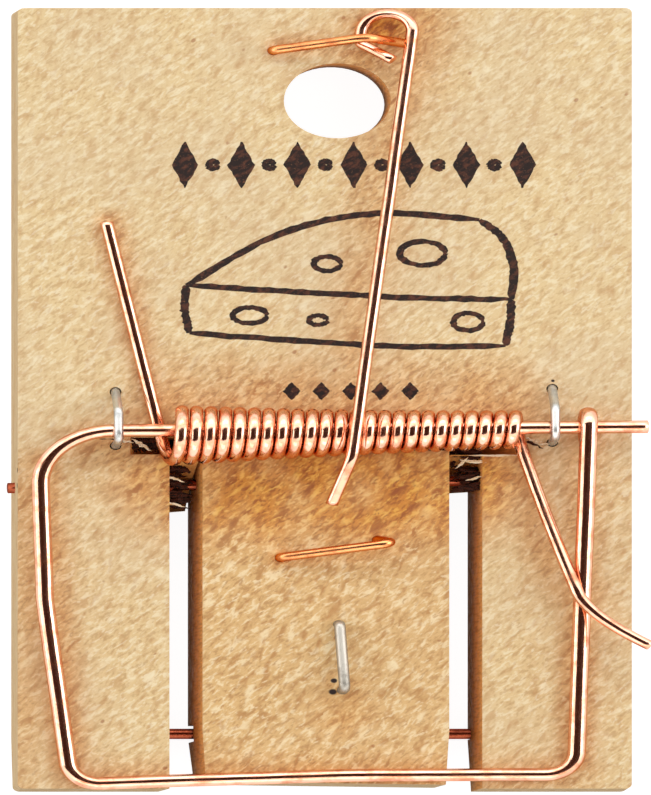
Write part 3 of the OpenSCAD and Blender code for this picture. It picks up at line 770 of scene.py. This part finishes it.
striker = wire("striker_wire", wobbled(from_axle(striker_path), WOBBLE, 3), STRIKER_D, 28)
finish_wire(striker, copper, "striker", "striker")

# %% [markdown]
# ## The spring
# Twenty-four close turns, wide at the left and narrower at the right, end in two legs: the left one
# lies straight along the board, and the right one is bowed, crosses over the striker's leg and presses
# it down. A Screw modifier would make an even helix only, and this coil shrinks, so its radius follows
# a parabola. The spring is one mesh, with its place baked into it.

# %% Coil
SPRING_D = 1.2
SOLID_SPRING_D = 0.86
TURNS, PITCH, COIL_LEFT = 24, 1.28, -14.2
COIL_LENGTH = TURNS * PITCH + SOLID_SPRING_D
LEFT_COIL_D, MIDDLE_COIL_D, RIGHT_COIL_D = 7.7, 5.9, 4.9
LEFT_SAG, RIGHT_SAG = -0.72, -0.22
LEAD_IN = 0.7


def coil_radius(u):
    """Outer radius at share u of the length: a parabola through the three diameters."""
    slope = 4 * MIDDLE_COIL_D - 3 * LEFT_COIL_D - RIGHT_COIL_D
    bend = 2 * (LEFT_COIL_D + RIGHT_COIL_D - 2 * MIDDLE_COIL_D)
    return (LEFT_COIL_D + slope * u + bend * u * u) / 2


def coil_point(angle):
    """Centre line of the turns: angle from the bottom of the left end, in radians.

    x grows evenly, less a lead-in that dies out over the first half turn. y and z go round a circle
    that stands on the board all along, so its middle is above the axle at the wide end.
    """
    turn = angle / (2 * math.pi)
    u = turn / TURNS
    r = coil_radius(u) - SPRING_D / 2
    lead_in = LEAD_IN * np.clip(1 - 2 * turn, 0, 1) ** 2
    return np.stack([
        COIL_LEFT + SOLID_SPRING_D / 2 + PITCH * turn - lead_in,
        LEFT_SAG * (1 - u) + RIGHT_SAG * u - r * np.sin(angle),
        BOARD_TOP + REST_GAP + SPRING_D / 2 + r - AXLE_Z - r * np.cos(angle),
    ], -1)


turns = coil_point(np.linspace(0, 2 * math.pi * TURNS, TURNS * 36 + 1))
print(f"coil: {TURNS} turns over {COIL_LENGTH:.1f} mm")

# %% Spring legs
LEFT_LEG_RUN = (-4.5, 27, 0)
CROSS_AHEAD, CROSS_GAP = 21.7, 0.12


def curve(a, b, c, t):
    """Run from a to c that leaves and arrives along the corner at b (a quadratic in t)."""
    t = np.asarray(t)[:, None]
    return a * (1 - t) ** 2 + b * 2 * t * (1 - t) + c * t * t


leg_start, leg_end = turns[0], turns[-1]
left_leg = leg_start + np.linspace(1, 0.02, 60)[:, None] * np.array(LEFT_LEG_RUN)
cross_y = leg_end[1] - CROSS_AHEAD
cross_z = leg_height(cross_y) + STRIKER_D / 2 + CROSS_GAP + SPRING_D / 2
crossing = np.array([FRAME_RIGHT + RIGHT_LEAN * cross_y / FRAME_REACH, cross_y, cross_z])
knee, tip_knee = crossing + [-0.65, 1.52, -0.14], crossing + [0, -1.6, 0.17]
tip = crossing + [5.8, -5.7, 0.29]
right_leg = np.concatenate([
    curve(leg_end + [0.05, -1.2, 0.02], leg_end + [1.95, -10.2, 1.3], knee, np.linspace(0, 1, 30)),
    curve(knee, tip_knee, tip, np.linspace(0.05, 1, 26)),
])

# %% Spring wire
spring_path = from_axle(np.concatenate([left_leg, turns, right_leg]))
spring = wire("spring_wire", spring_path, SPRING_D, 14, reference=(1.0, 0.02, 0.03))
spring.data.materials.append(copper)
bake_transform(spring)
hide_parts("spring")

# %% [markdown]
# ## The hold-down rod
# A thinner wire with an eye at the rear end of the board. The eye is tilted, because the rod's staple
# passes through it. The shank rests on the coil, and its tip is bent down and sideways, ready to slip
# under the catch on the pedal. Turning a flat rod into place by eye would leave a gap or a clash, so
# its rise is worked out from the two places that hold it, the eye and the top of the coil.

# %% Hold-down rod
ROD_D = 1.15
EYE_HALF_W, EYE_HALF_L = 2.35, 2.65
eye_centre = np.array([5.3, 45.55, BOARD_TOP + 1.55])
ROD_TURN, EYE_ROLL = math.radians(5.95), math.radians(21.5)
ROD_GAP, ROD_PAST_AXLE, TIP_L = 0.18, 3.5, 6.5
rod_on_coil_y = AXLE_Y - 0.45
rod_on_coil_x = eye_centre[0] + EYE_HALF_W - (eye_centre[1] - rod_on_coil_y) * math.tan(ROD_TURN)
coil_top = BOARD_TOP + REST_GAP + 2 * coil_radius((rod_on_coil_x - COIL_LEFT) / COIL_LENGTH)
rod_lift = coil_top + ROD_GAP + ROD_D / 2 - eye_centre[2] - EYE_HALF_W * math.sin(EYE_ROLL)
rod_rise = math.atan(rod_lift * math.cos(ROD_TURN) / (eye_centre[1] - rod_on_coil_y))
along_rod = np.array([-math.sin(ROD_TURN) * math.cos(rod_rise),
                      -math.cos(ROD_TURN) * math.cos(rod_rise), math.sin(rod_rise)])
across_rod = np.array([math.cos(ROD_TURN), -math.sin(ROD_TURN), 0])
eye_right = across_rod * math.cos(EYE_ROLL) - np.cross(across_rod, along_rod) * math.sin(EYE_ROLL)


def by_eye(right, away):
    """Point in the rod's frame: to the right of the eye's centre, and away from the tip."""
    return eye_centre + eye_right * right - along_rod * away


rod_bend = by_eye(EYE_HALF_W, (eye_centre[1] - AXLE_Y + ROD_PAST_AXLE) / along_rod[1])
tip_turn, tip_drop = ROD_TURN + math.radians(10), math.radians(20)
tip_way = np.array([-math.sin(tip_turn) * math.cos(tip_drop),
                    -math.cos(tip_turn) * math.cos(tip_drop), -math.sin(tip_drop)])
rod_path = bent_path([
    rod_bend + tip_way * TIP_L, rod_bend, by_eye(EYE_HALF_W, EYE_HALF_L),
    by_eye(-EYE_HALF_W, EYE_HALF_L), by_eye(-EYE_HALF_W, -0.5 * EYE_HALF_W),
    by_eye(EYE_HALF_W - 1.25 * ROD_D, -1.35 * EYE_HALF_W),
], [4, EYE_HALF_W - 0.04, EYE_HALF_W - 0.04, 0.9])
ROD_WOBBLE = 0.03
rod = wire("hold_down_rod_wire", wobbled(rod_path, ROD_WOBBLE, 8), ROD_D, 24,
           reference=(0.3, 0.5, 0.8))
finish_wire(rod, copper, "hold_down_rod", "hold_down_rod")

# %% [markdown]
# ## The staples
# Each staple is a short bent wire whose two legs go down into the wood. The copper ones hold the rod's
# eye and catch its tip, the galvanised ones carry the axle and hold the bait. One staple could be
# copied and stretched, but only the two on the axle are alike, so the others have their own corners.

# %% Staples
NAIL_DEPTH = 3.0
COPPER_STAPLE_D, GREY_STAPLE_D, AXLE_STAPLE_D = 1.1, 1.0, 0.82
FINE_STEP = 0.3


def staple(name, points, radii, diameter, material, body, reference):
    """A bent staple, riding on its body in place of the exact node of the same name."""
    piece = wire(name + "_wire", bent_path(points, radii, FINE_STEP), diameter, 20, reference)
    finish_wire(piece, material, body, name)


def toward(a, b, length):
    """Point at a length from a, towards b."""
    return np.asarray(a) + unit(np.asarray(b, float) - a) * length


# %% Rod staple
ROD_STAPLE_H, ROD_STAPLE_REACH = 4.2, 9.8
foot = np.array([eye_centre[0] - ROD_STAPLE_REACH, eye_centre[1] - 0.72 * EYE_HALF_L, BOARD_TOP])
peak = np.array([eye_centre[0] - 0.81 * EYE_HALF_W, eye_centre[1] - 0.19 * EYE_HALF_L,
                 BOARD_TOP + ROD_STAPLE_H])
end = np.array([eye_centre[0] + 0.83 * EYE_HALF_W, eye_centre[1] - 0.4 * EYE_HALF_L, BOARD_TOP])
staple("rod_staple", [foot - [0, 0, NAIL_DEPTH], foot + [0, 0, COPPER_STAPLE_D], peak,
                      toward(end, peak, -NAIL_DEPTH)],
       [0.65, 1.6], COPPER_STAPLE_D, worn_copper, "base", (0.1, 1.0, 0.1))

# %% Catch and bait staples
PIN_Y = -10.35
CATCH_W, CATCH_H, CATCH_AHEAD = 9.6, 4, 8.7
left = np.array([-0.4 * CATCH_W, PIN_Y - CATCH_AHEAD - 0.1 * CATCH_W, BOARD_TOP])
corner = np.array([0.6 * CATCH_W, PIN_Y - CATCH_AHEAD + 0.07 * CATCH_W, BOARD_TOP + CATCH_H])
foot = corner + [-0.11 * CATCH_W, 0.06 * CATCH_W, -CATCH_H]
staple("catch_staple", [left - [0, 0, NAIL_DEPTH], left + [0, 0, 0.9 * COPPER_STAPLE_D], corner,
                        toward(foot, corner, -NAIL_DEPTH)],
       [0.8, 0.75], COPPER_STAPLE_D, worn_copper, "pedal", (0.1, 1.0, 0.1))

BAIT_L, BAIT_H, BAIT_AHEAD = 8.3, 2.6, 18
foot = np.array([0.15 * BAIT_L, PIN_Y - BAIT_AHEAD, BOARD_TOP])
corner = foot + [0.04 * BAIT_L, -BAIT_L, BAIT_H]
staple("bait_staple", [foot - [0, 0, NAIL_DEPTH], foot + [0, 0, 0.8 * GREY_STAPLE_D], corner,
                       corner - [0, 0, BAIT_H + NAIL_DEPTH]],
       [0.7, 0.7], GREY_STAPLE_D, grey_zinc, "pedal", (1.0, 0.05, 0.1))

# %% Axle staples
AXLE_PLAY = 0.15
HOLD_R = STRIKER_D / 2 + GREY_STAPLE_D / 2 + AXLE_PLAY
CROWN_FACING, FRONT_FACING = math.radians(78), math.radians(174)
SHOULDER_BEHIND, FOOT_BEHIND = 2.4, 5


def axle_staple(name, x):
    """Slanted rear leg, crown over the axle and front leg.

    Crown and front leg are lines at the holding radius from the axle, each facing its own way.
    """
    axle = np.array([x, AXLE_Y + x * math.tan(AXLE_SKEW), AXLE_Z])
    lift = (HOLD_R - SHOULDER_BEHIND * math.cos(CROWN_FACING)) / math.sin(CROWN_FACING)
    shoulder = axle + [0, SHOULDER_BEHIND, lift]
    middle = (FRONT_FACING + CROWN_FACING) / 2
    reach = HOLD_R / math.cos((FRONT_FACING - CROWN_FACING) / 2)
    corner = axle + reach * np.array([0, math.cos(middle), math.sin(middle)])
    foot = np.array([x, axle[1] + FOOT_BEHIND, BOARD_TOP])
    down = np.array([0, math.sin(FRONT_FACING - math.pi), -math.cos(FRONT_FACING - math.pi)])
    staple(name, [toward(foot, shoulder, -NAIL_DEPTH), shoulder, corner,
                  corner + down * (corner[2] - BOARD_TOP + NAIL_DEPTH)],
           [1.1, 1.1], AXLE_STAPLE_D, zinc, "base", (1.0, 0.05, 0.1))


axle_staple("left_axle_staple", -18.4)
axle_staple("right_axle_staple", 20)

# %% [markdown]
# ## Pin and stop wire
# The pedal rocks on a pin that is driven in from the board's left edge, through the pedal and into the
# wood beyond it, and a wire across the bottom of both slots stops it. Both are seen only in the slots
# and at the board's left edge. Short stubs there would do for the eye, but whole wires stay right when
# the pedal moves.

# %% Pin and stop wire
PIN_D, STOP_D = 1.3, 1.3
PIN_SKEW, PIN_LEFT, PIN_BITE = math.radians(1.4), -27.6, 9.4
SLOT_OUTER = 13.7
pin_heading = np.array([math.cos(PIN_SKEW), math.sin(PIN_SKEW), 0])
pin_steps = np.linspace(PIN_LEFT, SLOT_OUTER + PIN_BITE, 40)[:, None]
pin = wire("pivot_pin_wire", pin_steps * pin_heading + [0, PIN_Y, BOARD_TOP / 2], PIN_D)
finish_wire(pin, shaded_copper, "base", "pivot_pin")

STOP_Y, STOP_Z, STOP_REACH, STOP_RISE = 7.3 - BOARD_HALF_L, 1.2, SLOT_OUTER + 3.4, 4
stop_path = bent_path([
    (-STOP_REACH, STOP_Y, STOP_Z + STOP_RISE), (-STOP_REACH, STOP_Y, STOP_Z),
    (STOP_REACH, STOP_Y, STOP_Z), (STOP_REACH, STOP_Y, STOP_Z + STOP_RISE)], [1, 1])
stop = wire("stop_wire_tube", stop_path, STOP_D, reference=(0.1, 1.0, 0.1))
finish_wire(stop, shaded_copper, "base", "stop_wire")

# %% [markdown]
# ## Torn fibres
# The saw leaves torn fibres where a cut runs out: dark ones across the inner ends of both slots and a
# ragged dark web low in the cross cut, near black as painted shade of the cuts, and a few pale
# splinters on the rims. Hair could make them, but it has no closed surface. Each sliver is a thin
# spindle with four sides instead, rooted in the board. None of them reaches the pedal.

# %% Slivers
SLIVER_ROWS, SLIVER_SIDES = 9, 4


def wood_piece(name, points, faces, material):
    """A mesh in millimetres that rides on the board and is finished as part of it."""
    mesh = bpy.data.meshes.new(name)
    mesh.from_pydata((points * mm).tolist(), [], faces)
    mesh.materials.append(material)
    piece = bpy.data.objects.new(name, mesh)
    bpy.context.scene.collection.objects.link(piece)
    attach(piece, "base")
    print(f"{name}: {len(faces)} faces")


def tube_faces(rows, sides):
    """Quads between rows of points, each row closed on itself, and a face at either end."""
    i, j = np.meshgrid(np.arange(rows - 1) * sides, np.arange(sides), indexing="ij")
    i, j = i.ravel(), j.ravel()
    k = (j + 1) % sides
    quads = np.stack([i + j, i + sides + j, i + sides + k, i + k], 1)
    first = np.arange(sides)
    return quads, [first, (rows - 1) * sides + first[::-1]]


def slivers(name, runs, material, seed):
    """One mesh of closed spindles, a run being its start, its end and its greatest width.

    Ring i of a spindle: centre_i + width * sin(pi * share_i) ** 0.7 * (corners of a flat diamond).
    """
    rng = np.random.default_rng(seed)
    quads, ends = tube_faces(SLIVER_ROWS, SLIVER_SIDES)
    share = np.linspace(0, 1, SLIVER_ROWS)[:, None]
    points, faces = [], []
    for start, end, width in runs:
        start, end = np.asarray(start, float), np.asarray(end, float)
        centre = start + (end - start) * share
        centre[1:-1] += rng.normal(0, width * 0.16, (SLIVER_ROWS - 2, 3))
        way = unit(end - start)
        side = unit(np.cross(way, [0, 0, 1.0]))
        over = np.cross(side, way)
        size = width / 2 * np.maximum(np.sin(math.pi * share[:, 0]), 0.06) ** 0.7
        size = size * rng.uniform(0.75, 1.15, SLIVER_ROWS)
        diamond = np.stack([side, over * 0.6, -side, -over * 0.6])
        base = len(points) * SLIVER_ROWS * SLIVER_SIDES
        points.append((centre[:, None, :] + size[:, None, None] * diamond).reshape(-1, 3))
        faces += (base + quads).tolist() + [(base + end_face).tolist() for end_face in ends]
    wood_piece(name, np.concatenate(points), faces, material)


def fibre_material(name, light, dark):
    """Torn wood: two shades in fine lines."""
    material, tree, output = new_material(name)
    n = Nodes(tree)
    lines = n.noise(n.place((1.2, 0.25, 0.3)), 1.0, 4.0, 0.6)
    shade = n.mix(n.ramp(lines, 0.4, 0.65), light, dark)
    shader = n.add("ShaderNodeBsdfPrincipled",
                   {"Base Color": shade, "Roughness": 0.85, "Specular IOR Level": 0.2,
                    "Normal": n.bump(lines, 0.5, 0.0001)})
    link(tree, shader.outputs[0], output.inputs["Surface"])
    return material


# near-black fibre colour: painted shade in the slots and the cross cut
shade_dark_fibre = fibre_material("shade_dark_fibre", colour(76, 36, 20), colour(20, 8, 6))
pale_fibre = fibre_material("pale_fibre", colour(255, 240, 208), colour(228, 186, 130))

# %% [markdown]
# Both slots get a thicket of dark slivers that stand out from the outer wall, and the left end of the
# cross cut gets a comb of them. The splinters on the rims are few, so each is listed one by one.

# %% Torn places
rng = np.random.default_rng(12)
# near-black slivers in both slots and the cross cut: painted shade of the cuts
shade_fibre_runs = []
# each slot: side, root of the slivers, rear, front, how many, how far they reach
for side, root, rear, front, count, shortest, longest in (
        (-1, -13.85, -7.2, -13.4, 32, 1.4, 2.5), (1, 14.0, -6.7, -11.6, 30, 1.7, 2.95)):
    for _ in range(count):
        y, z = rng.uniform(front, rear), rng.uniform(5.3, 7.0)
        reach = rng.uniform(shortest, longest)
        tilt = rng.uniform(-1.0, 0.8)
        shade_fibre_runs.append(((root, y, z), (root - side * reach, y + tilt, z - rng.uniform(0, 0.7)),
                          rng.uniform(0.35, 0.7)))
for _ in range(34):
    x = rng.uniform(-17.0, -13.9)
    z = 7.8 - 1.1 * (x + 17.4) / 3.5 * rng.uniform(0.6, 1.0)
    shade_fibre_runs.append(((x, -4.75, z), (x + rng.uniform(-0.4, 0.8), rng.uniform(-6.9, -6.0), z - 0.3),
                      rng.uniform(0.3, 0.6)))
shade_fibre_runs += [
    ((11.5, -4.75, 5.6), (11.35, -8.6, 5.4), 0.75),
    ((17.0, -5.0, 7.95), (19.2, -6.3, 8.05), 0.35),
    ((-17.2, -5.3, 7.95), (-19.8, -5.1, 8.0), 0.4),
]
pale_runs = [
    ((-17.0, -5.1, 7.95), (-15.2, -6.6, 7.8), 0.45),
    ((-14.6, -9.5, 7.95), (-12.3, -10.5, 7.6), 0.32),
    ((-14.2, -12.9, 7.7), (-12.2, -13.6, 7.3), 0.3),
    ((14.2, -8.1, 8.0), (11.9, -7.7, 7.7), 0.5),
    ((14.0, -9.7, 7.8), (12.4, -10.3, 7.4), 0.28),
    ((12.6, -7.4, 7.9), (11.5, -8.8, 7.5), 0.3),
    ((-18.6, -5.0, 8.02), (-16.8, -5.6, 8.05), 0.35),
    ((17.4, -7.2, 8.0), (12.6, -7.15, 8.0), 0.3),
    ((17.6, -5.0, 8.05), (19.7, -5.9, 8.15), 0.4),
]
slivers("torn_fibres_and_slot_shade", shade_fibre_runs, shade_dark_fibre, 31)
slivers("torn_pale_fibres", pale_runs, pale_fibre, 32)

# %% Dark web, painted shade low in the cross cut
WEB_HALF_W, WEB_REAR, WEB_FRONT, WEB_Z = 13.2, -4.8, -6.3, 2
WEB_STEPS = 150


def cross_cut_shade_web():
    """Ragged sheet from the cross cut's rear wall, low in the cut, near black as painted shade: four
    rows of points along it.

    Its front edge stands up to 0.1 mm behind its place, and its height is smoothed noise.
    """
    rng = np.random.default_rng(5)
    x = np.linspace(-WEB_HALF_W, WEB_HALF_W, WEB_STEPS)
    rear = np.full(WEB_STEPS, WEB_REAR)
    front = WEB_FRONT + rng.uniform(0, 0.1, WEB_STEPS)
    z = WEB_Z + np.convolve(rng.normal(0, 0.5, WEB_STEPS), np.ones(3) / 3, "same")
    rows = [np.stack([x, rear, z + 0.5], 1), np.stack([x, front, z], 1),
            np.stack([x, front, z - 0.4], 1), np.stack([x, rear, z - 0.4], 1)]
    quads, ends = tube_faces(WEB_STEPS, len(rows))
    faces = quads[:, ::-1].tolist() + [end_face[::-1].tolist() for end_face in ends]
    wood_piece("cross_cut_shade_web", np.stack(rows, 1).reshape(-1, 3), faces, shade_dark_fibre)


cross_cut_shade_web()

# %% [markdown]
# ## The burnt design
# A hot stamp has burnt a plain design into the board: a band of lozenges and dots, a wedge of cheese
# with its holes, and a row of small lozenges. Nodes in the wood's own finish could darken it there,
# but every stroke would need its own nodes. Each stroke is a thin ribbon that lies on the wood instead,
# its width a function of the way along it, with the ragged edge that scorched fibres leave.

# %% Burnt strokes
RAGGED = 0.045
RIBBON_ACROSS = np.array([-1, -0.9, 0, 0.9, 1])
RIBBON_HEIGHT = np.array([-0.05, 0.012, 0.02, 0.012, -0.05])
stroke_points, stroke_faces = [], []


def smooth_line(points, steps=14):
    """Curve through the points: between two of them each coordinate is a cubic (Catmull-Rom)."""
    p = np.asarray(points, float)
    p = np.concatenate([[2 * p[0] - p[1]], p, [2 * p[-1] - p[-2]]])
    t = np.linspace(0, 1, steps, endpoint=False)[None, :, None]
    a, b, c, d = p[:-3, None], p[1:-2, None], p[2:-1, None], p[3:, None]
    line = 0.5 * (2 * b + (c - a) * t + (2 * a - 5 * b + 4 * c - d) * t ** 2
                  + (3 * b - a - 3 * c + d) * t ** 3)
    return np.concatenate([line.reshape(-1, 2), p[-2:-1]])


def burn(line, half_width, seed):
    """Adds a closed ribbon along a line: half_width is a function of the share 0 to 1 along it.

    Across the ribbon the height rises from within the wood to 0.02 mm above it and falls again, in
    five columns, and the outer two columns are joined below.
    """
    line = np.asarray(line, float)
    way = unit(np.gradient(line, axis=0))
    side = np.stack([-way[:, 1], way[:, 0]], 1)
    length = run_lengths(line)
    share = length / length[-1]
    ragged = np.random.default_rng(seed).normal(0, RAGGED, (len(line), 2))
    left_side = RIBBON_ACROSS[None, :] < 0
    width = half_width(share)[:, None] + np.where(left_side, ragged[:, :1], ragged[:, 1:])
    offset = np.maximum(width, 0.02) * RIBBON_ACROSS
    xy = line[:, None, :] + side[:, None, :] * offset[:, :, None]
    z = np.broadcast_to(BOARD_TOP + RIBBON_HEIGHT, xy.shape[:2])
    start = sum(len(p) for p in stroke_points)
    quads, ends = tube_faces(len(line), len(RIBBON_ACROSS))
    stroke_points.append(np.concatenate([xy, z[:, :, None]], 2).reshape(-1, 3))
    stroke_faces.extend((start + quads).tolist() + [(start + end_face).tolist() for end_face in ends])


def steady(width):
    """Half width of an even stroke with rounded ends."""
    return lambda share: width / 2 * np.clip(np.sin(math.pi * share) * 6, 0.3, 1) ** 0.5


def lozenge(x, y, half_w, half_h, seed):
    """Solid diamond: an upright stroke whose width grows to the middle and shrinks again."""
    line = np.stack([np.full(15, x), np.linspace(y + half_h, y - half_h, 15)], 1)
    burn(line, lambda share: half_w * (1 - np.abs(2 * share - 1)) + 0.05, seed)


def oval(x, y, half_w, half_h, width, seed):
    """Ring stroke round a centre."""
    a = np.linspace(0, 2 * math.pi, 40)
    burn(np.stack([x + half_w * np.cos(a), y + half_h * np.sin(a)], 1), steady(width), seed)


# %% Band of lozenges and dots
BAND_X, BAND_Y, BAND_STEP = -12.3, 29.3, 4.95
for index in range(7):
    lozenge(BAND_X + BAND_STEP * index, BAND_Y, 1.25, 2.9, 20 + index)
for index in range(6):
    oval(-9.83 + BAND_STEP * index, BAND_Y, 0.35, 0.45, 0.75, 40 + index)

# %% Wedge of cheese
STROKE, THICK_STROKE, HOLE_STROKE = 0.8, 0.85, 0.65
tip_top, tip_low, heel_top = (-12.2, 14.2), (-11.9, 8.2), (13.6, 22.4)
heel_front, heel_low = (16.4, 12.4), (15.9, 6.6)
for line, width, seed in (
        ([tip_top, (-4, 20.6), (4.5, 23.2), heel_top], THICK_STROKE, 50),
        ([tip_top, (-2, 13.3), (8, 12.6), heel_front], STROKE, 51),
        ([heel_top, (15.6, 20.2), (16.6, 16.5), heel_front], THICK_STROKE, 52),
        ([tip_top, (-12.3, 11), tip_low], STROKE, 53),
        ([tip_low, (-2, 7.2), (7, 6.5), heel_low], STROKE, 54),
        ([heel_front, (16.3, 9.5), heel_low], STROKE, 55)):
    burn(smooth_line(line), steady(width), seed)
oval(8.6, 18.2, 2.0, 1.5, 0.7, 56)
oval(0.2, 16.9, 1.2, 0.9, HOLE_STROKE, 57)
oval(12.6, 9.6, 1.3, 1.1, HOLE_STROKE, 58)
oval(-6.6, 10.4, 1.5, 1.0, HOLE_STROKE, 59)
oval(-0.6, 9.8, 0.8, 0.6, 0.6, 60)

# %% Row of small lozenges
SMALL_BAND_X, SMALL_BAND_Y, SMALL_BAND_STEP = -2.9, 0.9, 2.6
for index in range(5):
    lozenge(SMALL_BAND_X + SMALL_BAND_STEP * index, SMALL_BAND_Y, 0.8, 1.1, 70 + index)

# %% Burnt wood


def burnt_wood():
    """Charred fibres: nearly black, with redder places where the stamp pressed lightly."""
    material, tree, output = new_material("burnt_wood")
    n = Nodes(tree)
    char = n.noise(n.place((1.1, 0.6, 1), 45), 1.1, 4.0, 0.6)
    fine = n.noise(n.place(), 4.0, 3.0)
    shade = n.mix(n.ramp(char, 0.45, 0.68), colour(30, 14, 9), colour(88, 46, 28))
    shade = n.mix(n.ramp(fine, 0.6, 0.75, 0, 0.5), shade, colour(150, 98, 62))
    shader = n.add("ShaderNodeBsdfPrincipled",
                   {"Base Color": shade, "Roughness": 0.85, "IOR": 1.4,
                    "Normal": n.bump(char, 0.5, 0.0001)})
    link(tree, shader.outputs[0], output.inputs["Surface"])
    return material


wood_piece("burnt_design", np.concatenate(stroke_points), stroke_faces, burnt_wood())

# %% [markdown]
# ## Finish

# %% Update the scene
bpy.context.view_layer.update()
